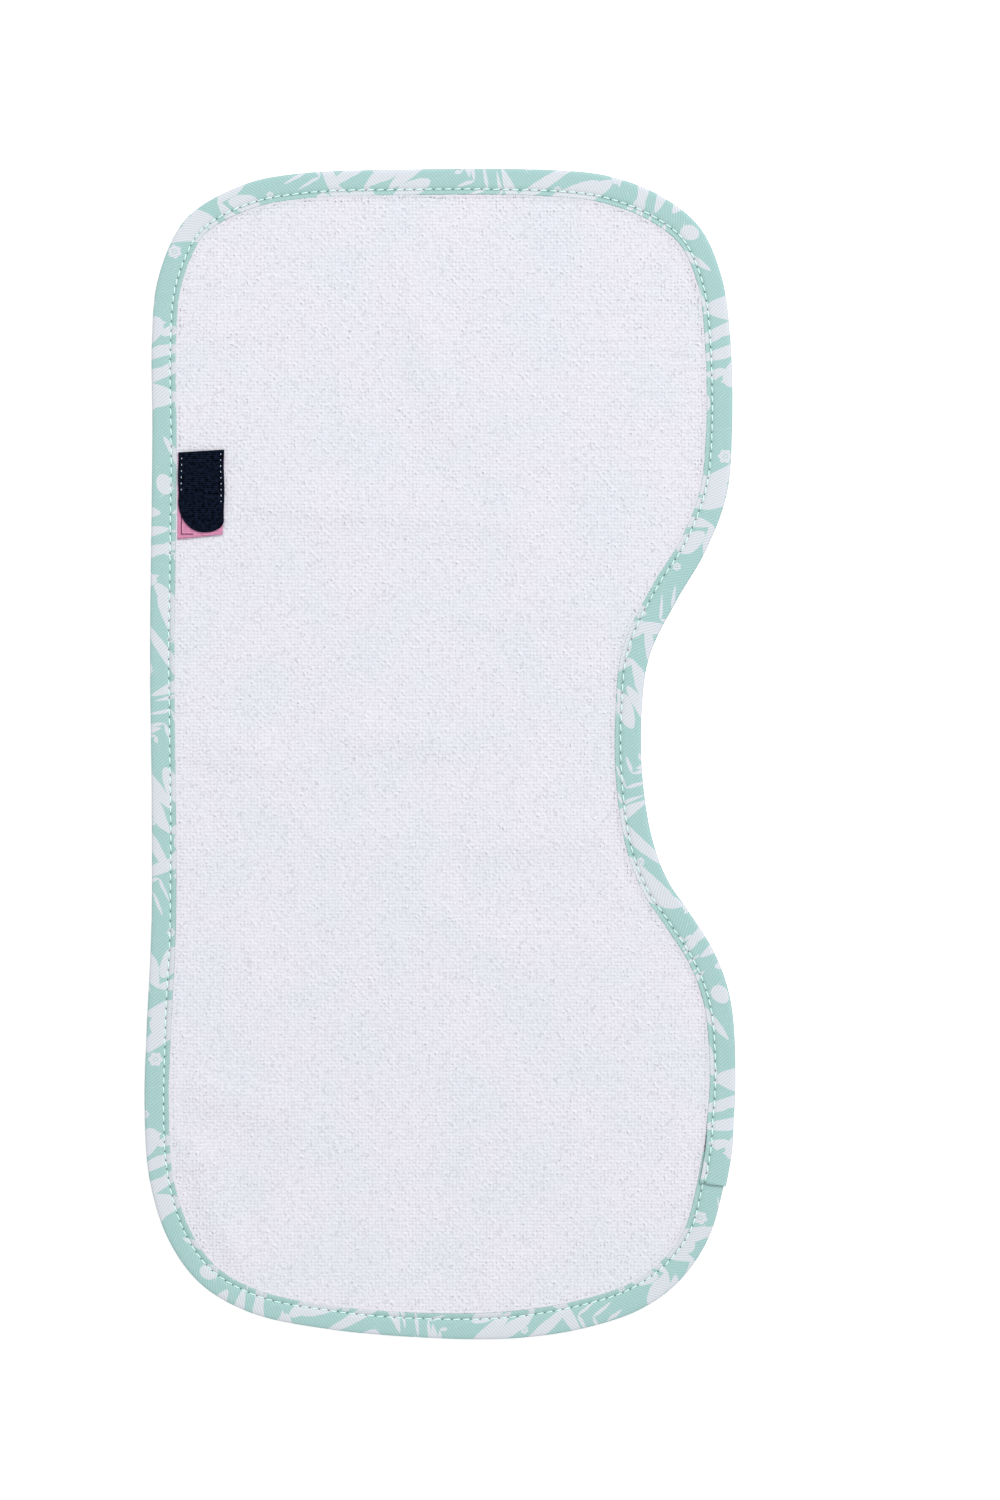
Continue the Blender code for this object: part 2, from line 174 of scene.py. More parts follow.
def spline_point(p0, p1, p2, p3, t):
    """A point between p1 and p2 on the centripetal Catmull-Rom curve through four points."""
    k0 = 0.0
    k1 = k0 + math.sqrt((p1 - p0).xy.length)
    k2 = k1 + math.sqrt((p2 - p1).xy.length)
    k3 = k2 + math.sqrt((p3 - p2).xy.length)
    k = k1 + (k2 - k1) * t
    a1 = p0 * ((k1 - k) / (k1 - k0)) + p1 * ((k - k0) / (k1 - k0))
    a2 = p1 * ((k2 - k) / (k2 - k1)) + p2 * ((k - k1) / (k2 - k1))
    a3 = p2 * ((k3 - k) / (k3 - k2)) + p3 * ((k - k2) / (k3 - k2))
    b1 = a1 * ((k2 - k) / (k2 - k0)) + a2 * ((k - k0) / (k2 - k0))
    b2 = a2 * ((k3 - k) / (k3 - k1)) + a3 * ((k - k1) / (k3 - k1))
    return b1 * ((k2 - k) / (k2 - k1)) + b2 * ((k - k1) / (k2 - k1))


class Edge:
    """The cloth's finished edge, a closed curve read by its length clockwise from the lower right corner."""

    def __init__(self, length_over_all):
        rows = [Vector(row) * MM for side in OUTLINE.values() for row in side]
        count = len(rows)
        self.points = []
        for i in range(count):
            around = [rows[(i + j) % count] for j in (-1, 0, 1, 2)]
            self.points += [spline_point(*around, k / CURVE_STEPS) for k in range(CURVE_STEPS)]
        xs = [p.x for p in self.points]
        ys = [p.y for p in self.points]
        middle = Vector(((min(xs) + max(xs)) / 2, (min(ys) + max(ys)) / 2, 0.0))
        scale = length_over_all / (max(ys) - min(ys))
        self.points = [(p - middle) * scale for p in self.points]
        self.points.append(self.points[0])
        self.at = [0.0]
        for a, b in zip(self.points, self.points[1:]):
            self.at.append(self.at[-1] + (b - a).xy.length)
        self.length = self.at[-1]
        starts = [0]
        for side in OUTLINE.values():
            starts.append(starts[-1] + len(side) * CURVE_STEPS)
        self.side_starts = [self.at[i] for i in starts]
        self.tree = kdtree.KDTree(len(self.points))
        for i, point in enumerate(self.points):
            self.tree.insert((point.x, point.y, 0.0), i)
        self.tree.balance()

    def row(self, s):
        """x, y and the tape's width at the length s."""
        s = s % self.length
        i = min(bisect.bisect_right(self.at, s), len(self.at) - 1) - 1
        share = (s - self.at[i]) / (self.at[i + 1] - self.at[i])
        return self.points[i].lerp(self.points[i + 1], share)

    def inward(self, s):
        """The direction in the plane that points into the cloth, square to the edge."""
        along = (self.row(s + TANGENT_SPAN) - self.row(s - TANGENT_SPAN)).xy.normalized()
        return Vector((along.y, -along.x))

    def inset(self, s, depth):
        """The point at the length s, moved into the cloth by depth."""
        return self.row(s).xy + self.inward(s) * depth

    def tape_width(self, s):
        return self.row(s).z

    def nearest(self, place):
        """The length round the edge that is nearest to a place, and how deep inside the edge it lies."""
        found, i, _ = self.tree.find((place.x, place.y, 0.0))
        s = self.at[i]
        return s, (place - found.xy).dot(self.inward(s))


edge = Edge(cad_box[1].y - cad_box[0].y)
LAP_END = edge.length - LAP_CORNER_DISTANCE
LAP_START = LAP_END - LAP_LENGTH
lap_middle = edge.inset((LAP_START + LAP_END) / 2, edge.tape_width(LAP_END) / 2)
lap_inward = edge.inward((LAP_START + LAP_END) / 2)
lap_along = Vector((-lap_inward.y, lap_inward.x))


def lap_lift(place):
    """How far the tape's end, folded round its start, holds the cloth up near the lap."""
    from_middle = place - lap_middle
    beyond_end = max(abs(from_middle.dot(lap_along)) - LAP_LENGTH / 2 - LAP_LEVEL, 0.0)
    beyond_side = max(abs(from_middle.dot(lap_inward)) - edge.tape_width(LAP_END) / 2 - LAP_LEVEL, 0.0)
    away = math.hypot(beyond_end, beyond_side)
    return LAP_STEP * (1.0 - smoothstep(away / LAP_FADE))


def crest_lift(place, crests):
    """How far the soft crests in a table hold the cloth up at a place."""
    rise = 0.0
    for x0, y0, x1, y1, first, last, spread in crests:
        start = Vector((x0, y0)) * MM
        crest = Vector((x1, y1)) * MM - start
        share = (place - start).dot(crest) / crest.length_squared
        share = min(max(share, 0.0), 1.0)
        away = (place - start - crest * share).length
        height = first + (last - first) * share
        rise += height * MM * (1.0 - smoothstep(away / (spread * MM)))
    return rise


def lift(place):
    """How far the cloth's underside stands off the surface."""
    turns = place * (math.tau / (FOLD_WANDER_WAVE * MM))
    bent = place + Vector((math.sin(turns.y), math.sin(turns.x))) * FOLD_WANDER * MM
    return crest_lift(bent, FOLDS) + lap_lift(place)


def ripples(place):
    """The height of the fine ripples by the head's right corner."""
    x, y = place / MM
    start, whole = RIPPLE_FROM_X
    low, low_whole, high_whole, high = RIPPLE_Y
    share = smoothstep((x - start) / (whole - start))
    share *= smoothstep((y - low) / (low_whole - low)) * smoothstep((high - y) / (high - high_whole))
    if share == 0.0:
        return 0.0
    drift = 2.0 * noise.noise(Vector((x, y, 0.0)) / 25.0)
    return share * RIPPLE_RISE * MM * math.sin(math.tau * y / RIPPLE_WAVE + drift)


def unevenness(place):
    """How far the terry's top stands above or below its mean height."""
    height = 0.0
    for wave_x, wave_y, phase, rise in UNEVENNESS:
        turns = place.x / (wave_x * MM) + place.y / (wave_y * MM)
        height += rise * MM * math.sin(math.tau * turns + phase)
    return height


def ground_top(place):
    """The height of the ground's upper face in the open field."""
    return GROUND_THICK + unevenness(place) + lift(place) + crest_lift(place, PUCKERS) + ripples(place)


@functools.cache
def field_edge(side, share):
    """A point where the field meets the tape, by the side of the cloth and the share of that side."""
    first = edge.side_starts[side]
    s = first + (edge.side_starts[side + 1] - first) * share
    return edge.inset(s, edge.tape_width(s) + FIELD_BEYOND_TAPE)


def patch_point(u, v):
    """A point of the field, blended from its four sides. u runs to +X and v to +Y."""
    low_right, low_left, high_left, high_right = (field_edge(side, 0.0) for side in range(4))
    across = field_edge(1, v).lerp(field_edge(3, 1.0 - v), u)
    along = field_edge(0, 1.0 - u).lerp(field_edge(2, u), v)
    skew = low_left.lerp(low_right, u).lerp(high_left.lerp(high_right, u), v)
    return across + along - skew


def hex_color(text):
    """An sRGB hex colour as linear red, green, blue and alpha."""
    channels = [int(text[i:i + 2], 16) / 255 for i in (1, 3, 5)]
    linear = [c / 12.92 if c <= 0.04045 else ((c + 0.055) / 1.055) ** 2.4 for c in channels]
    return (*linear, 1.0)


def add_node(tree, kind, sockets=(), **settings):
    """Adds a node. settings are its own properties. sockets are its inputs, by name or in order, and each
    takes a value, an output or the first output of a node."""
    made = tree.nodes.new(kind)
    for name, value in settings.items():
        setattr(made, name, value)
    for name, value in sockets.items() if isinstance(sockets, dict) else enumerate(sockets):
        if isinstance(value, bpy.types.Node):
            value = value.outputs[0]
        if isinstance(value, bpy.types.NodeSocket):
            tree.links.new(value, made.inputs[name])
        else:
            made.inputs[name].default_value = value
    return made


def new_finish(name):
    """An empty material, its node tree and the socket that its surface shader goes to."""
    material = bpy.data.materials.new(name)
    material.use_nodes = True
    material.node_tree.nodes.clear()
    output = add_node(material.node_tree, "ShaderNodeOutputMaterial")
    return material, material.node_tree, output.inputs["Surface"]


def add_piece(name, bm, material):
    """Turns a bmesh into a smooth piece of the cloth that rides on its body."""
    mesh = bpy.data.meshes.new(name)
    bm.to_mesh(mesh)
    bm.free()
    mesh.shade_smooth()
    mesh.materials.append(material)
    piece = bpy.data.objects.new(name, mesh)
    bpy.context.scene.collection.objects.link(piece)
    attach(piece, "root")
    return piece


def terry_finish():
    """White cotton terry yarn: matt and full of light, with a faint cold and warm cast in patches."""
    material, tree, surface = new_finish("looped_cotton_terry")
    place = add_node(tree, "ShaderNodeTexCoord").outputs["Object"]
    patches = add_node(tree, "ShaderNodeTexNoise", {"Vector": place, "Scale": CAST_PATCHES, "Detail": 2.0})
    cast = add_node(tree, "ShaderNodeValToRGB", (patches,))
    cold, warm = cast.color_ramp.elements
    cold.position = 0.36
    cold.color = hex_color(COLD_WHITE)
    warm.position = 0.64
    warm.color = hex_color(WARM_WHITE)
    fibres = add_node(tree, "ShaderNodeTexNoise", {"Vector": place, "Scale": FIBRES, "Detail": 3.0})
    fuzz = add_node(tree, "ShaderNodeBump", {"Height": fibres, "Distance": 0.0002, "Strength": 0.6})
    shader = add_node(tree, "ShaderNodeBsdfPrincipled", {
        "Base Color": cast, "Roughness": 0.95, "Specular IOR Level": 0.2, "Sheen Weight": 0.15,
        "Sheen Roughness": 0.6, "Normal": fuzz})
    tree.links.new(shader.outputs["BSDF"], surface)
    return material


def make_ground():
    """The ground: a grid mapped to the outline, two rings out to the cut edge, then its thickness."""
    bm = bmesh.new()
    ring_of = bm.verts.layers.int.new("ring")
    length_of = bm.verts.layers.float.new("length")
    bmesh.ops.create_grid(bm, x_segments=GROUND_COLUMNS, y_segments=GROUND_ROWS, size=1.0)
    for vert in bm.verts:
        column = round((vert.co.x + 1.0) / 2.0 * GROUND_COLUMNS)
        row = round((vert.co.y + 1.0) / 2.0 * GROUND_ROWS)
        u = column / GROUND_COLUMNS
        v = row / GROUND_ROWS
        vert.co.xy = patch_point(u, v)
        side, share = None, 0.0
        if row == 0:
            side, share = 0, 1.0 - u
        elif column == 0:
            side, share = 1, v
        elif row == GROUND_ROWS:
            side, share = 2, u
        elif column == GROUND_COLUMNS:
            side, share = 3, 1.0 - v
        if side is not None:
            first = edge.side_starts[side]
            vert[length_of] = first + (edge.side_starts[side + 1] - first) * share

    for ring in (1, 2):
        border = [e for e in bm.edges if e.is_boundary]
        grown = bmesh.ops.extrude_edge_only(bm, edges=border)["geom"]
        for vert in (g for g in grown if isinstance(g, bmesh.types.BMVert)):
            vert[ring_of] = ring
            s = vert[length_of]
            released = edge.tape_width(s) + RELEASE_BEYOND_TAPE
            vert.co.xy = edge.inset(s, released if ring == 1 else CUT_EDGE_INSET)

    over = bmesh.ops.extrude_face_region(bm, geom=bm.faces[:], use_keep_orig=True)["geom"]
    top = {g for g in over if isinstance(g, bmesh.types.BMVert)}
    rim_bottom = TAPE_THICK + GAP
    for vert in bm.verts:
        in_field = vert[ring_of] == 0
        if vert in top:
            rim_top = rim_bottom + RIM_THICK + lift(vert.co.xy)
            vert.co.z = ground_top(vert.co.xy) if in_field else rim_top
        else:
            vert.co.z = (0.0 if in_field else rim_bottom) + lift(vert.co.xy)
    bmesh.ops.recalc_face_normals(bm, faces=bm.faces)
    return add_piece("terry_ground", bm, terry)


terry = terry_finish()
ground = make_ground()
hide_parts("terry_panel")

# The terry's loops
# Each pick of the weave leaves a row of standing cotton loops, about 1.4 mm apart each way, that lean and
# twist as the yarn relaxes. They cover the ground up to the tape, and the label lies on their tips.
LOOP_PITCH_ACROSS = 0.00146
LOOP_PITCH_ALONG = 0.00148
LOOP_SHIFT = 0.00026            # how far a loop strays from its row
LOOP_LONG = 0.00182             # from root to root
LOOP_WIDE = 0.00178
LOOP_TURN = 0.60                # how unevenly the loops are turned and lean, in radians
LOOP_LEAN = 0.14
LOOP_SWAY = 0.12                # neighbours lean to opposite sides
LOOP_SPREAD = (0.82, 1.18)      # the smallest and the largest, as shares of the usual size
LOOP_UNEVEN = 0.30              # the share of its height that its size changes
LOOP_ROUND = 0.35               # the share of its height that its roundness across gives
LOOP_ROOT_DEPTH = 0.00020       # how far the roots are sunk in the ground
LOOP_BY_TAPE = 0.00060          # from the tape's inner edge to the nearest of the weave's rows
EDGE_LOOP_PITCH = 0.00115       # the loops that the tape presses into a line along its edge
EDGE_LOOP_FROM_TAPE = 0.00030
CROWD_REACH = 0.0030            # the loops this near to the tape are held upright by it
CROWD_RISE = 0.75               # and stand this much taller at its edge
LOOP_FIELDS = 4                 # the loops are joined in this many pieces, from foot to head
NAP_PATCH = 0.016               # size of the patches where the loops lie the same way
NAP_LEAN = 0.06
NAP_TURN = 0.3
random.seed(7)


def make_loop():
    """The upper side of one loop, bent over along X and rounded across: one long, one wide and one high."""
    bm = bmesh.new()
    bmesh.ops.create_grid(bm, x_segments=2, y_segments=2, size=0.5)
    for vert in bm.verts:
        arch = 1.0 - 4.0 * vert.co.x ** 2
        roundness = 1.0 - 4.0 * vert.co.y ** 2
        vert.co.z = (1.0 - LOOP_ROUND) * arch + LOOP_ROUND * roundness
    return bm


def scatter(name, unit, seats, material):
    """One piece made of many copies of a unit mesh. Each seat is a place, a turn in radians and a size."""
    unit_mesh = bpy.data.meshes.new(name + "_unit")
    unit.to_mesh(unit_mesh)
    unit.free()
    unit_mesh.shade_smooth()
    unit_mesh.materials.append(material)
    unit_object = bpy.data.objects.new(name + "_unit", unit_mesh)
    cloud = bpy.data.meshes.new(name + "_seats")
    cloud.from_pydata([place for place, _, _ in seats], [], [])
    for attribute, column in (("turn", 1), ("size", 2)):
        values = cloud.attributes.new(attribute, "FLOAT_VECTOR", "POINT")
        values.data.foreach_set("vector", [x for seat in seats for x in seat[column]])
    carrier = bpy.data.objects.new(name + "_seats", cloud)
    bpy.context.scene.collection.objects.link(carrier)

    tree = bpy.data.node_groups.new(name, "GeometryNodeTree")
    tree.interface.new_socket("Geometry", in_out="INPUT", socket_type="NodeSocketGeometry")
    tree.interface.new_socket("Geometry", in_out="OUTPUT", socket_type="NodeSocketGeometry")
    points = add_node(tree, "NodeGroupInput")
    turn = add_node(tree, "GeometryNodeInputNamedAttribute", {"Name": "turn"}, data_type="FLOAT_VECTOR")
    size = add_node(tree, "GeometryNodeInputNamedAttribute", {"Name": "size"}, data_type="FLOAT_VECTOR")
    rotation = add_node(tree, "FunctionNodeEulerToRotation", (turn,))
    copy = add_node(tree, "GeometryNodeObjectInfo", {"Object": unit_object})
    placed = add_node(tree, "GeometryNodeInstanceOnPoints", {
        "Points": points, "Instance": copy.outputs["Geometry"], "Rotation": rotation, "Scale": size})
    real = add_node(tree, "GeometryNodeRealizeInstances", (placed,))
    add_node(tree, "NodeGroupOutput", (real,))
    carrier.modifiers.new(name, "NODES").node_group = tree

    graph = bpy.context.evaluated_depsgraph_get()
    mesh = bpy.data.meshes.new_from_object(carrier.evaluated_get(graph), depsgraph=graph)
    mesh.name = name
    for spare in (carrier, unit_object):
        bpy.data.objects.remove(spare, do_unlink=True)
    bpy.data.node_groups.remove(tree)
    piece = bpy.data.objects.new(name, mesh)
    bpy.context.scene.collection.objects.link(piece)
    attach(piece, "root")
    return piece


def loop_seat(place, from_tape, lean):
    """One loop: where it is rooted, how it is turned and its size."""
    turn = random.gauss(0.0, LOOP_TURN)
    lean += random.gauss(0.0, LOOP_LEAN)
    long, wide, tall = (random.uniform(*LOOP_SPREAD) for _ in range(3))
    nap = noise.noise(Vector((place.x, place.y, 0.0)) / NAP_PATCH)
    crowd = 1.0 + CROWD_RISE * (1.0 - smoothstep(from_tape / CROWD_REACH))
    height = crowd * (PILE_TOP - GROUND_THICK + LOOP_ROOT_DEPTH) * (1.0 - LOOP_UNEVEN + LOOP_UNEVEN * tall)
    roots = (place.x, place.y, ground_top(place) - LOOP_ROOT_DEPTH)
    angles = (lean + NAP_LEAN * nap, 0.0, math.pi / 2 + turn + NAP_TURN * nap)
    return roots, angles, (LOOP_LONG * long, LOOP_WIDE * wide, height)


def loop_seats():
    """Every loop, from the foot of the cloth to its head: the weave's rows, then those along the tape."""
    seats = []
    low, high = cad_box
    for row in range(int((high.y - low.y) / LOOP_PITCH_ALONG)):
        for column in range(int((high.x - low.x) / LOOP_PITCH_ACROSS)):
            stray = Vector((random.gauss(0.0, 0.5), random.gauss(0.0, 0.5))) * LOOP_SHIFT
            place = Vector((low.x + column * LOOP_PITCH_ACROSS, low.y + row * LOOP_PITCH_ALONG)) + stray
            s, depth = edge.nearest(place)
            from_tape = depth - edge.tape_width(s)
            if from_tape > LOOP_BY_TAPE:
                seats.append(loop_seat(place, from_tape, LOOP_SWAY if (row + column) % 2 else -LOOP_SWAY))
    count = round(edge.length / EDGE_LOOP_PITCH)
    for k in range(count):
        s = edge.length * k / count
        from_tape = EDGE_LOOP_FROM_TAPE + random.uniform(-0.5, 0.5) * LOOP_SHIFT
        place = edge.inset(s, edge.tape_width(s) + from_tape)
        seats.append(loop_seat(place, from_tape, 0.0))
    return sorted(seats, key=lambda seat: seat[0][1])


seats = loop_seats()
share = math.ceil(len(seats) / LOOP_FIELDS)
for field in range(LOOP_FIELDS):
    part = seats[field * share:(field + 1) * share]
    scatter(f"terry_loops_{field + 1}", make_loop(), part, terry)

# The bias binding
# A strip of printed cotton twill, cut on the bias, folded in and then over the terry's edge. Its end laps
# over its start. The topstitching draws a furrow, and the pile holds the narrow flap past it up.
TAPE_TOP = 2 * (TAPE_THICK + GAP) + 0.0013
STITCH_FROM_FLAP = 0.0024       # from the flap's edge to the topstitching
STITCH_PITCH = 0.0042
STITCH_WANDER = [(0.00012, 0.021, 0.0), (0.00008, 0.0083, 1.0)]    # its sways, their waves and phases
FURROW_DEPTH = 0.00062
FURROW_TO_CROWN = 0.0013        # from the furrow to where the tape is flat again
FLAP_RISE = 0.00002             # how far the pile lifts the flap's edge above the tape's top
CROWN_RISE = 0.00012            # how far the tape swells between its stitching and its bend
CREEP = 0.00007                 # how uneven the tape lies
CREEP_ALONG = 0.011             # and how far apart its high places are, along it and across
CREEP_ACROSS = 0.007
BEND_RADIUS = 0.0015
BEND_STEPS = 5
TAPE_STATION = 0.0010           # between two sections along the tape
LAP_RAMP = 0.017                # over which the end rises to lie over the start
LAP_START_CLEAR = 0.0012
LAP_SKEW = 0.0014               # how much further along the tape's end is cut at its inner edge
RAMP_START = LAP_START - LAP_START_CLEAR - LAP_RAMP

# Distances from the flap's edge where the tape's face bends, in millimetres, then even steps to the bend
FACE_MARKS = [0.2, 0.8, 1.4, 1.9, 2.2, 2.4, 2.6, 2.9, 3.4, 4.1]
FACE_STEPS_TO_BEND = 4
UNDER_MARKS = [0.2, 1.6, 2.4, 3.2]
UNDER_STEPS_TO_BEND = 2
LINING_MARKS = [0.3, 2.4, 4.5]

MINT = "#9FC3C1"
PRINT_WHITE = "#CFD4DB"
RIB_PITCH = 1.15                # the real ribs are about 0.4 mm apart, too fine to show from the camera
THREAD_PITCH = 0.75
TAPE_SLUBS = 1.9                # to a millimetre, as thick places in the yarn lie
PRINT_EDGE = 0.07               # how soft the print's outline is, in millimetres
PRINT_TILE = (62.0, 50.0)       # the print's repeat
PRINT_SEEP = 0.36               # how far the pigment strays past its outline, in millimetres
SEEP_SPOTS = 1.4                # to a millimetre
EDGE_SHADE = 0.50               # painted shade where the rolled edge turns away from the light: the share of its colour left
GROOVE_SHADE = 0.80             # painted shade in the groove that the stitches draw: the share of its colour left there
GROOVE_AT = (2.6, 0.8)          # where the painted groove shade runs, from the flap's underside, and how far it reaches
BIAS = math.radians(45.0)

# The print's fronds: x, y and turn in degrees of the midrib, half its length, then the leaflets' reach,
# spacing and half width, in millimetres
SPRAYS = [
    (-9.0, 3.0, 24.0, 25.0, 23.0, 13.2, 3.3),
    (20.0, -15.0, 196.0, 13.0, 8.5, 6.6, 0.85),
]
LEAFLET_ANGLE = math.radians(52.0)
LEAFLET_BELLY = 0.65            # how full a leaflet is on its way to its tip
LEAFLET_ROOT = (3.0, 0.25)      # how fast it widens from its root, and how wide that is
FROND_BOW = 0.012

# The print's single petals: x, y, turn, half length, half width, how pointed, and how much wider one end is
PETALS = [
    (-23.0, -16.0, 15.0, 7.5, 4.2, 0.5, 0.3),
    (21.0, 13.0, 130.0, 10.0, 5.2, 0.5, 0.3),
    (1.0, 17.0, -24.0, 12.0, 2.5, 0.8, 0.3),
    (-3.0, -17.0, 70.0, 4.6, 3.5, 0.5, -0.1),
    (25.0, -7.0, 85.0, 12.0, 3.0, 0.5, 0.2),
    (-24.0, 14.0, -35.0, 9.0, 2.2, 0.6, -0.4),
]

# Its blossoms: x, y and radius
BLOSSOMS = [(6.0, 7.5, 2.9), (-14.0, -6.5, 1.7), (14.0, -17.0, 1.6)]
BLOSSOM_PETALS = 6.0
BLOSSOM_NOTCH = 0.12            # the depth of its notches and the place of its ring, as shares of its radius
BLOSSOM_HEART = 0.32
BLOSSOM_RING = 0.12             # half the ring's width, in millimetres

stitch_count = round(edge.length / STITCH_PITCH)
stitch_step = edge.length / stitch_count


def stitch_depth(s):
    """How deep inside the finished edge the topstitching runs, which wanders a little."""
    wander = sum(sway * math.sin(s / wave + phase) for sway, wave, phase in STITCH_WANDER)
    return edge.tape_width(s) - STITCH_FROM_FLAP + wander


def face_rise(s, depth):
    """How far the tape's face stands above its flat height, at a depth inside the finished edge."""
    width = edge.tape_width(s)
    outwards = stitch_depth(s) - depth
    furrow = FURROW_DEPTH * (0.8 + 0.2 * math.cos(math.tau * s / stitch_step))
    creep = CREEP * noise.noise(Vector((s / CREEP_ALONG, depth / CREEP_ACROSS, 3.0)))
    if outwards < 0.0:
        share = smoothstep(-outwards / STITCH_FROM_FLAP)
        return creep + FLAP_RISE * share - furrow * (1.0 - share)
    swell = math.sin(math.pi * min(outwards / (width - STITCH_FROM_FLAP), 1.0))
    return creep + CROWN_RISE * swell - furrow * (1.0 - smoothstep(outwards / FURROW_TO_CROWN))


def outer_half(s, marks, steps):
    """Depth and height over half of the tape's outside, from under its flap to the middle of the bend."""
    width = edge.tape_width(s)
    flap_top = TAPE_TOP + face_rise(s, width)
    half = [(width - 0.1 * MM, flap_top - TAPE_THICK), (width + 0.05 * MM, flap_top - 0.25 * MM)]
    shown = [mark * MM for mark in marks]
    last = shown[-1]
    shown += [last + (width - BEND_RADIUS - last) * k / steps for k in range(1, steps + 1)]
    half += [(width - x, TAPE_TOP + face_rise(s, width - x)) for x in shown]
    middle = TAPE_TOP / 2
    for k in range(1, BEND_STEPS + 1):
        angle = math.pi / 2 * k / BEND_STEPS
        half.append((BEND_RADIUS * (1.0 - math.sin(angle)), middle + middle * math.cos(angle)))
    return half


def tape_profile(s):
    """The tape's section as depth, height and which half it is in, from the upper flap round and back."""
    width = edge.tape_width(s)
    upper = outer_half(s, FACE_MARKS, FACE_STEPS_TO_BEND)
    lower = outer_half(s, UNDER_MARKS, UNDER_STEPS_TO_BEND)[:-1]
    inner = []
    for mark in LINING_MARKS:
        depth = width - mark * MM
        inner.append((depth, TAPE_TOP + face_rise(s, depth) - TAPE_THICK))
    inner.append((BEND_RADIUS, TAPE_TOP - 1.2 * TAPE_THICK))
    ring = [(depth, height, 1) for depth, height in upper[:-1]]
    ring.append((*upper[-1], 0))
    ring += [(depth, max(TAPE_TOP - height, 0.0), -1) for depth, height in reversed(lower)]
    ring += [(depth, TAPE_TOP - height, -1) for depth, height in inner]
    ring.append((1.2 * TAPE_THICK, TAPE_TOP / 2, 0))
    ring += [(depth, height, 1) for depth, height in reversed(inner)]
    return ring


def tape_point(s, depth, height, half, skew=0.0):
    """A point of the tape in space. Past the ramp the end stands off the start that it covers."""
    stand_off = LAP_STEP * smoothstep((s - RAMP_START) / LAP_RAMP)
    place = edge.inset(s + skew, depth - stand_off)
    return Vector((place.x, place.y, height + half * stand_off + lift(place)))


def spray(tree, place, x, y, turn, half_length, reach, spacing, half_width):
    """How deep a place lies inside a frond: leaflets that meet on a bowed midrib, in millimetres."""
    local = add_node(tree, "ShaderNodeMapping", {
        "Vector": place, "Location": (x, y, 0.0), "Rotation": (0.0, 0.0, math.radians(turn))},
        vector_type="TEXTURE")
    split = add_node(tree, "ShaderNodeSeparateXYZ", (local,))
    along = split.outputs["X"]
    square = add_node(tree, "ShaderNodeMath", (along, along), operation="MULTIPLY")
    across = add_node(tree, "ShaderNodeMath", (square, FROND_BOW, split.outputs["Y"]),
                      operation="MULTIPLY_ADD")
    away = add_node(tree, "ShaderNodeMath", (across,), operation="ABSOLUTE")

    slope = -1.0 / math.tan(LEAFLET_ANGLE)
    sheared = add_node(tree, "ShaderNodeMath", (away, slope, along), operation="MULTIPLY_ADD")
    leaflets = add_node(tree, "ShaderNodeMath", (sheared, spacing), operation="DIVIDE")
    cell = add_node(tree, "ShaderNodeMath", (leaflets,), operation="FRACT")
    centred = add_node(tree, "ShaderNodeMath", (cell, 0.5), operation="SUBTRACT")
    aside = add_node(tree, "ShaderNodeMath", (centred,), operation="ABSOLUTE")
    breadth = spacing * math.sin(LEAFLET_ANGLE)
    off_centre = add_node(tree, "ShaderNodeMath", (aside, breadth), operation="MULTIPLY")

    oval = add_node(tree, "ShaderNodeMath", (square, -1.0 / half_length ** 2, 1.0), operation="MULTIPLY_ADD")
    left = add_node(tree, "ShaderNodeMath", (oval, 0.0001), operation="MAXIMUM")
    rounded = add_node(tree, "ShaderNodeMath", (left,), operation="SQRT")
    leaf_length = add_node(tree, "ShaderNodeMath", (rounded, reach), operation="MULTIPLY")
    reached = add_node(tree, "ShaderNodeMath", (away, leaf_length), operation="DIVIDE")
    reached_square = add_node(tree, "ShaderNodeMath", (reached, reached), operation="MULTIPLY")
    fullness = add_node(tree, "ShaderNodeMath", (1.0, reached_square), operation="SUBTRACT", use_clamp=True)
    bellied = add_node(tree, "ShaderNodeMath", (fullness, LEAFLET_BELLY), operation="POWER")
    widening, first = LEAFLET_ROOT
    root = add_node(tree, "ShaderNodeMath", (reached, widening, first), operation="MULTIPLY_ADD",
                    use_clamp=True)
    tapered = add_node(tree, "ShaderNodeMath", (bellied, root), operation="MULTIPLY")
    width = add_node(tree, "ShaderNodeMath", (tapered, half_width), operation="MULTIPLY")
    return add_node(tree, "ShaderNodeMath", (width, off_centre), operation="SUBTRACT")


def petal(tree, place, x, y, turn, half_length, half_width, point, taper):
    """How deep a place lies inside one petal, in millimetres."""
    local = add_node(tree, "ShaderNodeMapping", {
        "Vector": place, "Location": (x, y, 0.0), "Rotation": (0.0, 0.0, math.radians(turn)),
        "Scale": (half_length, half_width, 1.0)}, vector_type="TEXTURE")
    split = add_node(tree, "ShaderNodeSeparateXYZ", (local,))
    along = split.outputs["X"]
    square = add_node(tree, "ShaderNodeMath", (along, along), operation="MULTIPLY")
    fullness = add_node(tree, "ShaderNodeMath", (1.0, square), operation="SUBTRACT", use_clamp=True)
    pointed = add_node(tree, "ShaderNodeMath", (fullness, point), operation="POWER")
    tapering = add_node(tree, "ShaderNodeMath", (along, taper, 1.0), operation="MULTIPLY_ADD")
    profile = add_node(tree, "ShaderNodeMath", (pointed, tapering), operation="MULTIPLY")
    away = add_node(tree, "ShaderNodeMath", (split.outputs["Y"],), operation="ABSOLUTE")
    inside = add_node(tree, "ShaderNodeMath", (profile, away), operation="SUBTRACT")
    return add_node(tree, "ShaderNodeMath", (inside, half_width), operation="MULTIPLY")


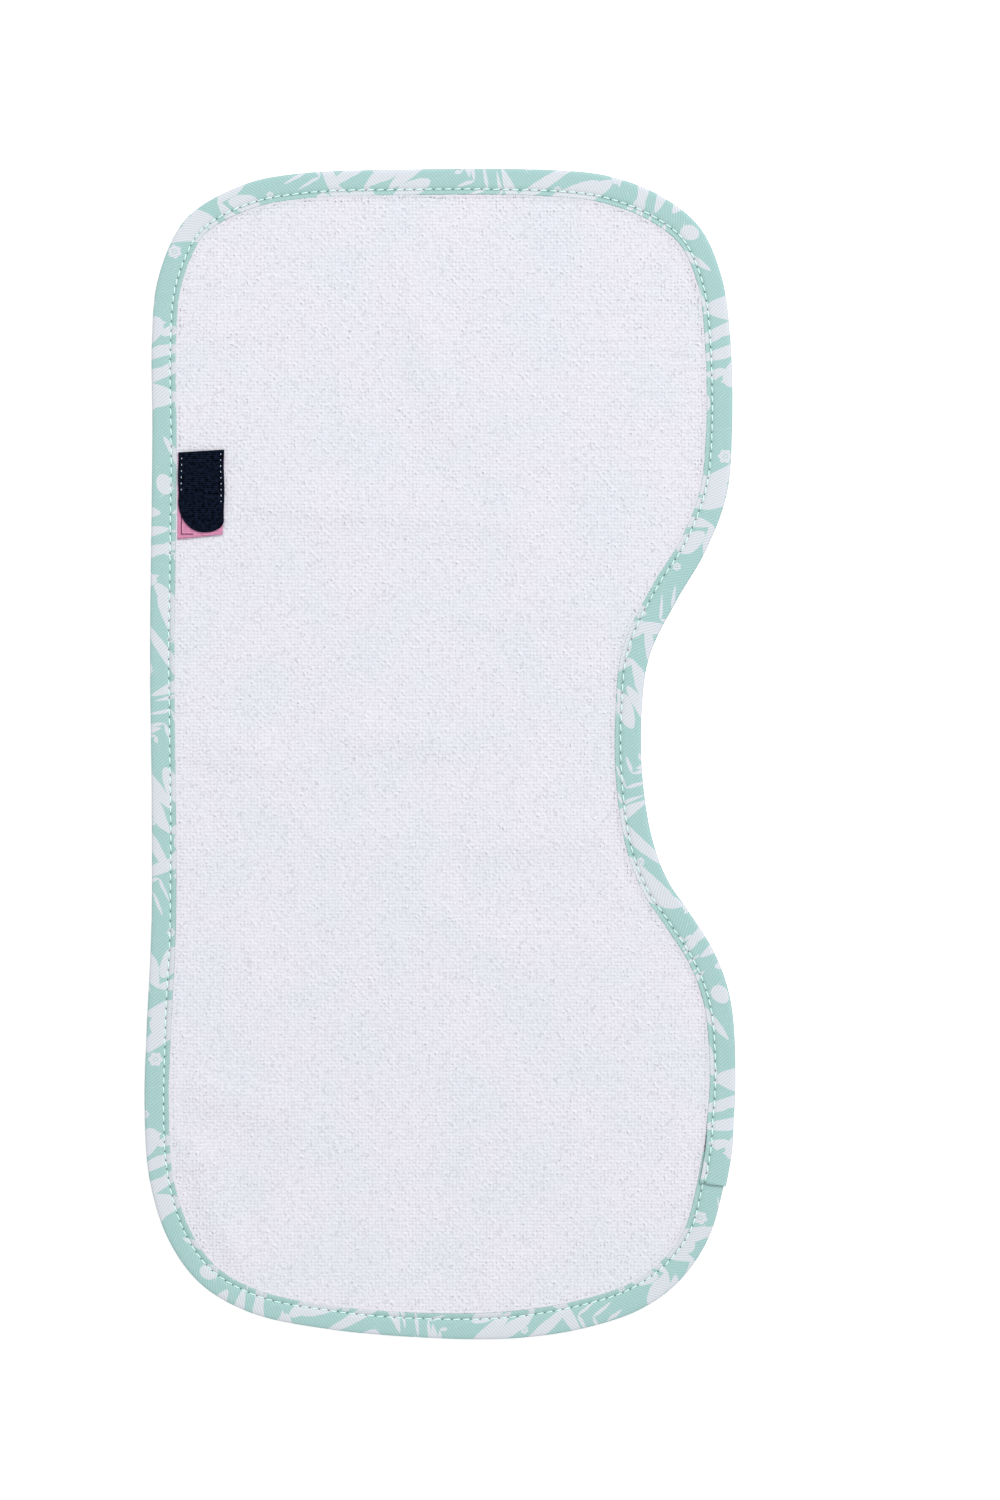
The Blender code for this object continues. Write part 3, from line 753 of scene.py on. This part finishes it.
def blossom(tree, place, x, y, radius):
    """How deep a place lies inside a small blossom with a notched rim and an open ring round its heart."""
    local = add_node(tree, "ShaderNodeVectorMath", (place, (x, y, 0.0)), operation="SUBTRACT")
    split = add_node(tree, "ShaderNodeSeparateXYZ", (local,))
    out = add_node(tree, "ShaderNodeVectorMath", (local,), operation="LENGTH").outputs["Value"]
    turn = add_node(tree, "ShaderNodeMath", (split.outputs["Y"], split.outputs["X"]), operation="ARCTAN2")
    petals = add_node(tree, "ShaderNodeMath", (turn, BLOSSOM_PETALS), operation="MULTIPLY")
    wave = add_node(tree, "ShaderNodeMath", (petals,), operation="SINE")
    rim = add_node(tree, "ShaderNodeMath", (wave, BLOSSOM_NOTCH * radius, radius), operation="MULTIPLY_ADD")
    inside = add_node(tree, "ShaderNodeMath", (rim, out), operation="SUBTRACT")
    from_ring = add_node(tree, "ShaderNodeMath", (out, BLOSSOM_HEART * radius), operation="SUBTRACT")
    off_ring = add_node(tree, "ShaderNodeMath", (from_ring,), operation="ABSOLUTE")
    clear = add_node(tree, "ShaderNodeMath", (off_ring, BLOSSOM_RING), operation="SUBTRACT")
    return add_node(tree, "ShaderNodeMath", (inside, clear), operation="MINIMUM")


def leaf_print(tree, place):
    """Where the white pigment lies: a repeat of sprays and, over it, one of petals and blossoms."""
    half_tile = Vector((*PRINT_TILE, 2.0)) / 2
    tiles = []
    for shift in (0.0, 0.0, 0.0), (PRINT_TILE[0] / 2, PRINT_TILE[1] / 2, 0.0):
        turned = add_node(tree, "ShaderNodeMapping", {
            "Vector": place, "Location": shift, "Rotation": (0.0, 0.0, BIAS)})
        tile = add_node(tree, "ShaderNodeVectorMath", (turned, half_tile, -half_tile), operation="WRAP")
        tiles.append(tile)
    motifs = [spray(tree, tiles[0], *row) for row in SPRAYS]
    motifs += [petal(tree, tiles[1], *row) for row in PETALS]
    motifs += [blossom(tree, tiles[1], *row) for row in BLOSSOMS]
    deepest = motifs[0]
    for motif in motifs[1:]:
        deepest = add_node(tree, "ShaderNodeMath", (deepest, motif), operation="MAXIMUM")
    seep = add_node(tree, "ShaderNodeTexNoise", {"Vector": place, "Scale": SEEP_SPOTS, "Detail": 2.0})
    drawn_back = add_node(tree, "ShaderNodeMath", (deepest, PRINT_SEEP / 2), operation="SUBTRACT")
    ragged = add_node(tree, "ShaderNodeMath", (seep, PRINT_SEEP, drawn_back), operation="MULTIPLY_ADD")
    return add_node(tree, "ShaderNodeMapRange", {
        "Value": ragged, "From Min": -PRINT_EDGE, "From Max": PRINT_EDGE}, interpolation_type="SMOOTHSTEP")


def printed_twill():
    """Cotton twill in mint with a white pigment print: matt, with slanting ribs and crisp print edges."""
    material, tree, surface = new_finish("printed_cotton_twill")
    metres = add_node(tree, "ShaderNodeUVMap", uv_map="tape")
    place = add_node(tree, "ShaderNodeVectorMath", {0: metres, "Scale": 1000.0}, operation="SCALE")
    pigment = leaf_print(tree, place)
    printed = add_node(tree, "ShaderNodeMix", {
        0: pigment, 6: hex_color(MINT), 7: hex_color(PRINT_WHITE)}, data_type="RGBA").outputs[2]

    ribs = []
    for slant, pitch in ((50.0, RIB_PITCH), (-42.0, THREAD_PITCH)):
        angle = math.radians(slant)
        across = Vector((math.sin(angle), math.cos(angle), 0.0)) * math.tau / pitch
        turns = add_node(tree, "ShaderNodeVectorMath", (place, across), operation="DOT_PRODUCT")
        ribs.append(add_node(tree, "ShaderNodeMath", (turns.outputs["Value"],), operation="SINE"))
    crossed = add_node(tree, "ShaderNodeMath", (ribs[1], 0.5, ribs[0]), operation="MULTIPLY_ADD")
    slubs = add_node(tree, "ShaderNodeTexNoise", {"Vector": place, "Scale": TAPE_SLUBS, "Detail": 3.0})
    weave = add_node(tree, "ShaderNodeMath", (slubs, 1.6, crossed), operation="MULTIPLY_ADD")
    lit = add_node(tree, "ShaderNodeMapRange", {
        "Value": weave, "From Min": -1.0, "From Max": 2.6, "To Min": 0.82, "To Max": 1.14})

    # Painted shade: the tape's colour darkens where its surface turns away from the light, on the rolled edge
    geometry = add_node(tree, "ShaderNodeNewGeometry")
    facing = add_node(tree, "ShaderNodeSeparateXYZ", (geometry.outputs["Normal"],))
    painted_edge_shade = add_node(tree, "ShaderNodeMapRange", {
        "Value": facing.outputs["Z"], "From Max": 0.85, "To Min": EDGE_SHADE, "To Max": 1.0})
    # Painted shade along the stitches' groove, darkest on its line and fading over its reach
    groove, reach = GROOVE_AT
    run = add_node(tree, "ShaderNodeSeparateXYZ", (place,)).outputs["Y"]
    off = add_node(tree, "ShaderNodeMath", (run, groove), operation="SUBTRACT")
    away = add_node(tree, "ShaderNodeMath", (off,), operation="ABSOLUTE")
    painted_groove_shade = add_node(tree, "ShaderNodeMapRange", {
        "Value": away, "From Max": reach, "To Min": GROOVE_SHADE, "To Max": 1.0},
        interpolation_type="SMOOTHSTEP")
    shade = add_node(tree, "ShaderNodeMath", (painted_edge_shade, painted_groove_shade), operation="MULTIPLY")
    light = add_node(tree, "ShaderNodeMath", (lit, shade), operation="MULTIPLY")
    shaded = add_node(tree, "ShaderNodeVectorMath", {0: printed, "Scale": light}, operation="SCALE")
    raised = add_node(tree, "ShaderNodeBump", {"Height": weave, "Distance": 0.00003, "Strength": 0.8})
    shader = add_node(tree, "ShaderNodeBsdfPrincipled", {
        "Base Color": shaded, "Roughness": 0.82, "Specular IOR Level": 0.3, "Sheen Weight": 0.08,
        "Normal": raised})
    tree.links.new(shader.outputs["BSDF"], surface)
    return material


def make_binding():
    """The tape: a grid whose rows are the stations along it and whose columns go round its section."""
    first = LAP_START - edge.length
    rows = round((LAP_END - first) / TAPE_STATION)
    columns = len(tape_profile(0.0))
    bm = bmesh.new()
    place_of = bm.verts.layers.float_vector.new("tape")
    bmesh.ops.create_grid(bm, x_segments=columns, y_segments=rows, size=1.0)
    sections = {}
    for vert in bm.verts:
        row = round((vert.co.y + 1.0) / 2.0 * rows)
        column = round((vert.co.x + 1.0) / 2.0 * columns)
        sections.setdefault(row, [None] * (columns + 1))[column] = vert
    for row, verts in sections.items():
        s = first + (LAP_END - first) * row / rows
        profile = tape_profile(s)
        width = edge.tape_width(s)
        run = 0.0
        before = profile[0]
        for column, vert in enumerate(verts):
            depth, height, half = profile[column % columns]
            run += math.hypot(depth - before[0], height - before[1])
            before = (depth, height)
            skew = LAP_SKEW * (depth / width - 0.5) if row == rows else 0.0
            vert.co = tape_point(s, depth, height, half, skew)
            vert[place_of] = (s, run, 0.0)
    laid = bm.loops.layers.uv.new("tape")
    for face in bm.faces:
        for corner in face.loops:
            corner[laid].uv = corner.vert[place_of].xy
    closing = [v for verts in sections.values() for v in (verts[0], verts[-1])]
    bmesh.ops.remove_doubles(bm, verts=closing, dist=1e-7)
    ends = [e for e in bm.edges if e.is_boundary]
    bmesh.ops.holes_fill(bm, edges=ends, sides=0)
    bmesh.ops.recalc_face_normals(bm, faces=bm.faces)
    return add_piece("printed_tape", bm, printed_twill())


tape = make_binding()
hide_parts("edge_binding")

# The topstitching
# One line of lockstitch in pale mint sewing thread holds both faces of the tape. Each stitch shows as a
# short slanting strand that dips into its needle holes, whose shade is painted as dark spots.
STITCH_LONG = 0.0029
THREAD_ACROSS = 0.00060
STITCH_ARCH = 0.00030
STITCH_SLANT = math.radians(5.0)
STITCH_BEDDED = 0.00012         # how far a stitch's middle stands above the furrow
STITCH_TAPER = 0.35             # how much thinner its ends are than its middle
THREAD_MINT = "#DAF8F2"
THREAD_TWISTS = 5200.0          # to a metre, so about 0.2 mm for each turn of the plies
# The needle holes' shade is painted: a dark spot laid on the furrow at each hole
HOLE_SHADE = "#3F7370"
HOLE_ACROSS = 0.00080
HOLE_STANDS = 0.00020           # how far the shaded spot stands off the furrow, so that it shows whole


def sewing_thread(name, color):
    """Spun polyester thread: a soft gloss, and a fine twist along the strand."""
    material, tree, surface = new_finish(name)
    place = add_node(tree, "ShaderNodeTexCoord").outputs["Object"]
    plies = add_node(tree, "ShaderNodeTexNoise", {"Vector": place, "Scale": THREAD_TWISTS, "Detail": 1.0})
    twist = add_node(tree, "ShaderNodeBump", {"Height": plies, "Distance": 0.00005, "Strength": 0.6})
    shader = add_node(tree, "ShaderNodeBsdfPrincipled", {
        "Base Color": hex_color(color), "Roughness": 0.5, "Sheen Weight": 0.1, "Normal": twist})
    tree.links.new(shader.outputs["BSDF"], surface)
    return material


def make_stitch(long, across, arch):
    """One stitch: a strand along X, thinner at its ends, which dip below its middle."""
    bm = bmesh.new()
    along_x = Matrix.Rotation(math.pi / 2, 4, "Y")
    bmesh.ops.create_cone(bm, cap_ends=True, segments=6, radius1=0.5, radius2=0.5, depth=1.0, matrix=along_x)
    sides = [e for e in bm.edges if abs(e.verts[0].co.x - e.verts[1].co.x) > 0.5]
    bmesh.ops.subdivide_edges(bm, edges=sides, cuts=5)
    for vert in bm.verts:
        share = 4.0 * vert.co.x ** 2
        thick = across * (1.0 - STITCH_TAPER * share)
        vert.co.y *= thick
        vert.co.z = vert.co.z * thick - arch * share
        vert.co.x *= long
    return bm


def topstitch_seats():
    """Where each stitch of the topstitching lies on the tape's upper face and on its lower one."""
    upper = []
    lower = []
    holes = []
    for k in range(stitch_count):
        s = (k + 0.5) * stitch_step
        s -= edge.length if s > LAP_END else 0.0
        depth = stitch_depth(s)
        height = TAPE_TOP + face_rise(s, depth)
        place = tape_point(s, depth, height, 1)
        ahead = tape_point(s + 0.001, depth, TAPE_TOP + face_rise(s, depth), 1) - place
        if s + 0.001 > LAP_END > s:
            ahead.z = 0.0
        yaw = math.atan2(ahead.y, ahead.x)
        pitch = -math.atan2(ahead.z, ahead.xy.length)
        bedded = STITCH_BEDDED + random.uniform(-0.00003, 0.00003)
        slant = STITCH_SLANT + random.gauss(0.0, 0.03)
        long = random.uniform(0.92, 1.06)
        upper.append(((place.x, place.y, place.z + bedded), (0.0, pitch, yaw + slant), (long, 1.0, 1.0)))
        under = tape_point(s, depth, max(TAPE_TOP - height, 0.0), -1)
        under.z += 0.2 * THREAD_ACROSS
        lower.append((tuple(under), (math.pi, -pitch, yaw), (long, 1.0, 0.5)))
        hole_s = k * stitch_step
        hole_s -= edge.length if hole_s > LAP_END else 0.0
        hole_depth = stitch_depth(hole_s)
        hole = tape_point(hole_s, hole_depth, TAPE_TOP + face_rise(hole_s, hole_depth), 1)
        holes.append(((hole.x, hole.y, hole.z), (0.0, 0.0, yaw), (1.0, 0.8, 1.0)))
    return upper, lower, holes


def make_hole_shade_spot():
    """Painted shade in the mouth of a needle hole: a thin dark spot."""
    bm = bmesh.new()
    bmesh.ops.create_cone(bm, cap_ends=True, segments=8, radius1=0.5, radius2=0.45, depth=1.0)
    for vert in bm.verts:
        vert.co.xy *= HOLE_ACROSS
        vert.co.z *= HOLE_STANDS
    return bm


mint_thread = sewing_thread("mint_sewing_thread", THREAD_MINT)
upper_seats, lower_seats, hole_seats = topstitch_seats()
topstitch = scatter("topstitching", make_stitch(STITCH_LONG, THREAD_ACROSS, STITCH_ARCH), upper_seats,
                    mint_thread)
understitch = scatter("bobbin_stitching", make_stitch(STITCH_LONG, 0.7 * THREAD_ACROSS, 0.2 * STITCH_ARCH),
                      lower_seats, mint_thread)
needle_holes = scatter("needle_holes", make_hole_shade_spot(), hole_seats,
                       sewing_thread("shaded_needle_hole", HOLE_SHADE))

# The label
# Two woven pieces sewn to the terry beside the tape: a pink one with a dark line inside its edge, and a
# dark blue tab with a round end over it. Any wording is left off, so the blue face is plain.
LABEL_THICK = 0.0004
LABEL_BASE_CORNERS = [(-113.8, 93.1), (-94.2, 95.2), (-93.6, 131.3), (-113.6, 130.3)]
LABEL_TAB_TOP = [(-113.4, 130.7), (-93.5, 131.9)]
LABEL_TAB_SIDES = (21.4, 30.6)
LABEL_TAB_END_DROP = (11.9, 6.5)
LABEL_COLUMNS = 36
LABEL_ROWS = 40
LABEL_EDGE_WAVE = 0.16
LABEL_ROUND = 0.00010
LABEL_RIPPLE = 0.00005
LABEL_RIPPLE_WAVE = 0.005
LABEL_BASE_Z = PILE_TOP + GAP
LABEL_TAB_Z = LABEL_BASE_Z + LABEL_THICK + GAP
LABEL_RIB = 0.90                # the real ribs are about 0.3 mm apart, too fine to show from the camera
LABEL_END = 0.72
LABEL_SLUBS = 9.0               # how strong the thick places in its threads are
LABEL_SLUB_SPOTS = 0.7          # to a millimetre
LABEL_PINK = "#CC88A9"
LABEL_NAVY = "#090F1B"
LABEL_LINE = "#4A2238"
LABEL_LINE_MARKS = (1.7, 2.2)   # from the pink piece's left and lower edge to its dark line, in millimetres
LABEL_LINE_ENDS = (10.2, 6.8)   # how far the line runs up and across
LABEL_LINE_WIDE = 0.42
LABEL_LINE_EDGE = 0.03
TAB_THREAD = "#D3DAE8"
TAB_STITCH_PITCH = 0.0029
TAB_STITCH_INSET = 0.0014
TAB_STITCH_SUNK = 0.00006
TAB_WIDTH = 0.0199


def label_line(tree, split):
    """How deep a place lies inside the line that is woven up the label's left side and along its foot."""
    strokes = []
    for axis, other in ((0, 1), (1, 0)):
        off = add_node(tree, "ShaderNodeMath", (split.outputs[axis], LABEL_LINE_MARKS[axis]),
                       operation="SUBTRACT")
        away = add_node(tree, "ShaderNodeMath", (off,), operation="ABSOLUTE")
        inside = add_node(tree, "ShaderNodeMath", (LABEL_LINE_WIDE / 2, away), operation="SUBTRACT")
        start = LABEL_LINE_MARKS[other] - LABEL_LINE_WIDE / 2
        begun = add_node(tree, "ShaderNodeMath", (split.outputs[other], start), operation="SUBTRACT")
        left = add_node(tree, "ShaderNodeMath", (LABEL_LINE_ENDS[axis], split.outputs[other]),
                        operation="SUBTRACT")
        run = add_node(tree, "ShaderNodeMath", (begun, left), operation="MINIMUM")
        strokes.append(add_node(tree, "ShaderNodeMath", (inside, run), operation="MINIMUM"))
    return add_node(tree, "ShaderNodeMath", tuple(strokes), operation="MAXIMUM")


def woven_label(name, color, dark, light_most, line=None):
    """Damask-woven polyester: fine even ribs, nearly matt, and a darker line where one is woven in."""
    material, tree, surface = new_finish(name)
    metres = add_node(tree, "ShaderNodeUVMap", uv_map="label")
    place = add_node(tree, "ShaderNodeVectorMath", {0: metres, "Scale": 1000.0}, operation="SCALE")
    split = add_node(tree, "ShaderNodeSeparateXYZ", (place,))
    picks = add_node(tree, "ShaderNodeMath", (split.outputs["Y"], math.tau / LABEL_RIB), operation="MULTIPLY")
    rib = add_node(tree, "ShaderNodeMath", (picks,), operation="SINE")
    ends = add_node(tree, "ShaderNodeMath", (split.outputs["X"], math.tau / LABEL_END), operation="MULTIPLY")
    end = add_node(tree, "ShaderNodeMath", (ends,), operation="SINE")
    slubs = add_node(tree, "ShaderNodeTexNoise", {"Vector": place, "Scale": LABEL_SLUB_SPOTS, "Detail": 3.0})
    uneven = add_node(tree, "ShaderNodeMath", (slubs, 0.5), operation="SUBTRACT")
    slubbed = add_node(tree, "ShaderNodeMath", (uneven, LABEL_SLUBS, rib), operation="MULTIPLY_ADD")
    weave = add_node(tree, "ShaderNodeMath", (end, 0.4, slubbed), operation="MULTIPLY_ADD")
    light = add_node(tree, "ShaderNodeMapRange", {
        "Value": weave, "From Min": -1.8, "From Max": 1.8, "To Min": dark, "To Max": light_most})
    shade = add_node(tree, "ShaderNodeVectorMath", {0: hex_color(color)[:3], "Scale": light},
                     operation="SCALE")
    if line:
        drawn = add_node(tree, "ShaderNodeMapRange", {
            "Value": label_line(tree, split), "From Min": -LABEL_LINE_EDGE, "From Max": LABEL_LINE_EDGE})
        shade = add_node(tree, "ShaderNodeMix", {
            0: drawn, 6: shade, 7: hex_color(line)}, data_type="RGBA").outputs[2]
    raised = add_node(tree, "ShaderNodeBump", {"Height": weave, "Distance": 0.00003, "Strength": 0.7})
    shader = add_node(tree, "ShaderNodeBsdfPrincipled", {
        "Base Color": shade, "Roughness": 0.85, "Specular IOR Level": 0.02, "Normal": raised})
    tree.links.new(shader.outputs["BSDF"], surface)
    return material


def base_place(u, v):
    low_left, low_right, high_right, high_left = (Vector(c) * MM for c in LABEL_BASE_CORNERS)
    return low_left.lerp(low_right, u).lerp(high_left.lerp(high_right, u), v)


def tab_place(u, v):
    top = Vector(LABEL_TAB_TOP[0]).lerp(Vector(LABEL_TAB_TOP[1]), u)
    side = LABEL_TAB_SIDES[0] + (LABEL_TAB_SIDES[1] - LABEL_TAB_SIDES[0]) * u
    drop = LABEL_TAB_END_DROP[0] + (LABEL_TAB_END_DROP[1] - LABEL_TAB_END_DROP[0]) * u
    reach = side + drop * math.sqrt(max(1.0 - (2.0 * u - 1.0) ** 2, 0.0))
    wave = LABEL_EDGE_WAVE * math.sin(9.0 * v + 4.0 * u) * (2.0 * u - 1.0) ** 2
    return (top + Vector((wave, -reach * (1.0 - v)))) * MM


def make_label_piece(name, place_at, base, material):
    """A woven piece on the pile: a grid, closer at its sides, put in its outline and thickened."""
    bm = bmesh.new()
    share_of = bm.verts.layers.float_vector.new("share")
    bmesh.ops.create_grid(bm, x_segments=LABEL_COLUMNS, y_segments=LABEL_ROWS, size=1.0)
    for vert in bm.verts:
        u = (1.0 + math.sin(math.pi / 2.0 * vert.co.x)) / 2.0
        v = (vert.co.y + 1.0) / 2.0
        vert[share_of] = (u, v, 0.0)
        vert.co.xy = place_at(u, v)
    corner_place = place_at(0.0, 0.0)
    laid = bm.loops.layers.uv.new("label")
    over = bmesh.ops.extrude_face_region(bm, geom=bm.faces[:], use_keep_orig=True)["geom"]
    top = {g for g in over if isinstance(g, bmesh.types.BMVert)}
    for vert in bm.verts:
        u, v, _ = vert[share_of]
        edge_near = max(abs(2.0 * u - 1.0), abs(2.0 * v - 1.0))
        rounded = LABEL_ROUND * smoothstep((edge_near - 0.9) / 0.1)
        thick = LABEL_THICK - rounded if vert in top else rounded * 0.3
        ripple = LABEL_RIPPLE * noise.noise(Vector((vert.co.x, vert.co.y, base)) / LABEL_RIPPLE_WAVE)
        vert.co.z = base + thick + ripple + unevenness(vert.co.xy) + lift(vert.co.xy)
    for face in bm.faces:
        for corner in face.loops:
            corner[laid].uv = corner.vert.co.xy - corner_place
    bmesh.ops.recalc_face_normals(bm, faces=bm.faces)
    return add_piece(name, bm, material)


def tab_stitch_seats():
    """The short stitches down both sides of the tab."""
    found = []
    inset = TAB_STITCH_INSET / TAB_WIDTH
    for u, count, first in ((inset, 6, 0.0030), (1.0 - inset, 9, 0.0022)):
        side = LABEL_TAB_SIDES[0] + (LABEL_TAB_SIDES[1] - LABEL_TAB_SIDES[0]) * u
        for k in range(count):
            drop = (first + k * TAB_STITCH_PITCH) / (side * MM + 0.008)
            place = tab_place(u, 1.0 - drop)
            z = LABEL_TAB_Z + LABEL_THICK + unevenness(place) + lift(place) - TAB_STITCH_SUNK
            turn = math.pi / 2 + random.gauss(0.0, 0.2)
            found.append(((place.x, place.y, z), (0.0, 0.0, turn), (random.uniform(0.7, 1.1), 1.0, 1.0)))
    return found


pink_weave = woven_label("pink_woven_label", LABEL_PINK, 0.80, 1.16, LABEL_LINE)
label_base = make_label_piece("label_pink_piece", base_place, LABEL_BASE_Z, pink_weave)
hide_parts("label_base")
navy_weave = woven_label("navy_woven_label", LABEL_NAVY, 0.0, 2.6)
label_tab = make_label_piece("label_blue_tab", tab_place, LABEL_TAB_Z, navy_weave)
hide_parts("label_tab")
tab_stitches = scatter("label_stitches", make_stitch(0.0011, 0.00036, 0.00014), tab_stitch_seats(),
                       sewing_thread("grey_blue_thread", TAB_THREAD))

# The floor, the light and the camera
# A white surface under a broad soft light that comes from past the cloth's head and a little from its
# right, with the camera straight above it, as the photograph was taken.
FLOOR_SIZE = 3.0
FLOOR_DROP = 0.0002
PHOTO_SCALE = 0.0004336         # metres to a pixel of the photograph, on the cloth
PHOTO_SIZE = (1000, 1500)
CLOTH_CENTRE = (440, 754)       # the middle of the cloth's outline in the photograph
LENS = 85.0
SENSOR = 36.0
KEY_POWER = 104.0
FILL_STRENGTH = 0.84
FLOOR_GLOW = 0.35


def white_surface():
    """A matt white painted board, with a faint unevenness."""
    material, tree, surface = new_finish("matt_white_board")
    place = add_node(tree, "ShaderNodeTexCoord").outputs["Object"]
    cloud = add_node(tree, "ShaderNodeTexNoise", {"Vector": place, "Scale": 3.0, "Detail": 1.0})
    tone = add_node(tree, "ShaderNodeValToRGB", (cloud,))
    tone.color_ramp.elements[0].color = hex_color("#FDFDFD")
    tone.color_ramp.elements[1].color = hex_color("#FFFFFF")
    shader = add_node(tree, "ShaderNodeBsdfPrincipled", {
        "Base Color": tone, "Roughness": 0.9, "Specular IOR Level": 0.1,
        "Emission Color": hex_color("#FFFFFF"), "Emission Strength": FLOOR_GLOW})
    tree.links.new(shader.outputs["BSDF"], surface)
    return material


def make_floor():
    bm = bmesh.new()
    bmesh.ops.create_grid(bm, x_segments=4, y_segments=4, size=FLOOR_SIZE / 2)
    bmesh.ops.translate(bm, verts=bm.verts, vec=(0.0, 0.0, -FLOOR_DROP))
    mesh = bpy.data.meshes.new("floor")
    bm.to_mesh(mesh)
    bm.free()
    mesh.materials.append(white_surface())
    made = bpy.data.objects.new("floor", mesh)
    bpy.context.scene.collection.objects.link(made)


def make_light(name, place, aim, size, power):
    lamp = bpy.data.lights.new(name, "AREA")
    lamp.shape = "DISK"
    lamp.size = size
    lamp.energy = power
    made = bpy.data.objects.new(name, lamp)
    made.location = place
    made.rotation_euler = (Vector(aim) - Vector(place)).to_track_quat("-Z", "Y").to_euler()
    bpy.context.scene.collection.objects.link(made)


make_floor()
make_light("key", (1.7, 2.7, 3.4), (0.0, 0.0, 0.0), 1.4, KEY_POWER)
world = bpy.data.worlds.new("soft_white")
world.use_nodes = True
world.node_tree.nodes["Background"].inputs["Color"].default_value = hex_color("#FFFFFF")
world.node_tree.nodes["Background"].inputs["Strength"].default_value = FILL_STRENGTH
bpy.context.scene.world = world
bpy.context.scene.view_settings.view_transform = "Standard"

lens = bpy.data.cameras.new("camera")
lens.lens = LENS
lens.sensor_width = SENSOR
lens.clip_end = 20.0
camera = bpy.data.objects.new("camera", lens)
camera.location = ((PHOTO_SIZE[0] / 2 - CLOTH_CENTRE[0]) * PHOTO_SCALE,
                   (CLOTH_CENTRE[1] - PHOTO_SIZE[1] / 2) * PHOTO_SCALE,
                   PILE_TOP + PHOTO_SIZE[1] * PHOTO_SCALE * LENS / SENSOR)
bpy.context.scene.collection.objects.link(camera)
bpy.context.scene.camera = camera
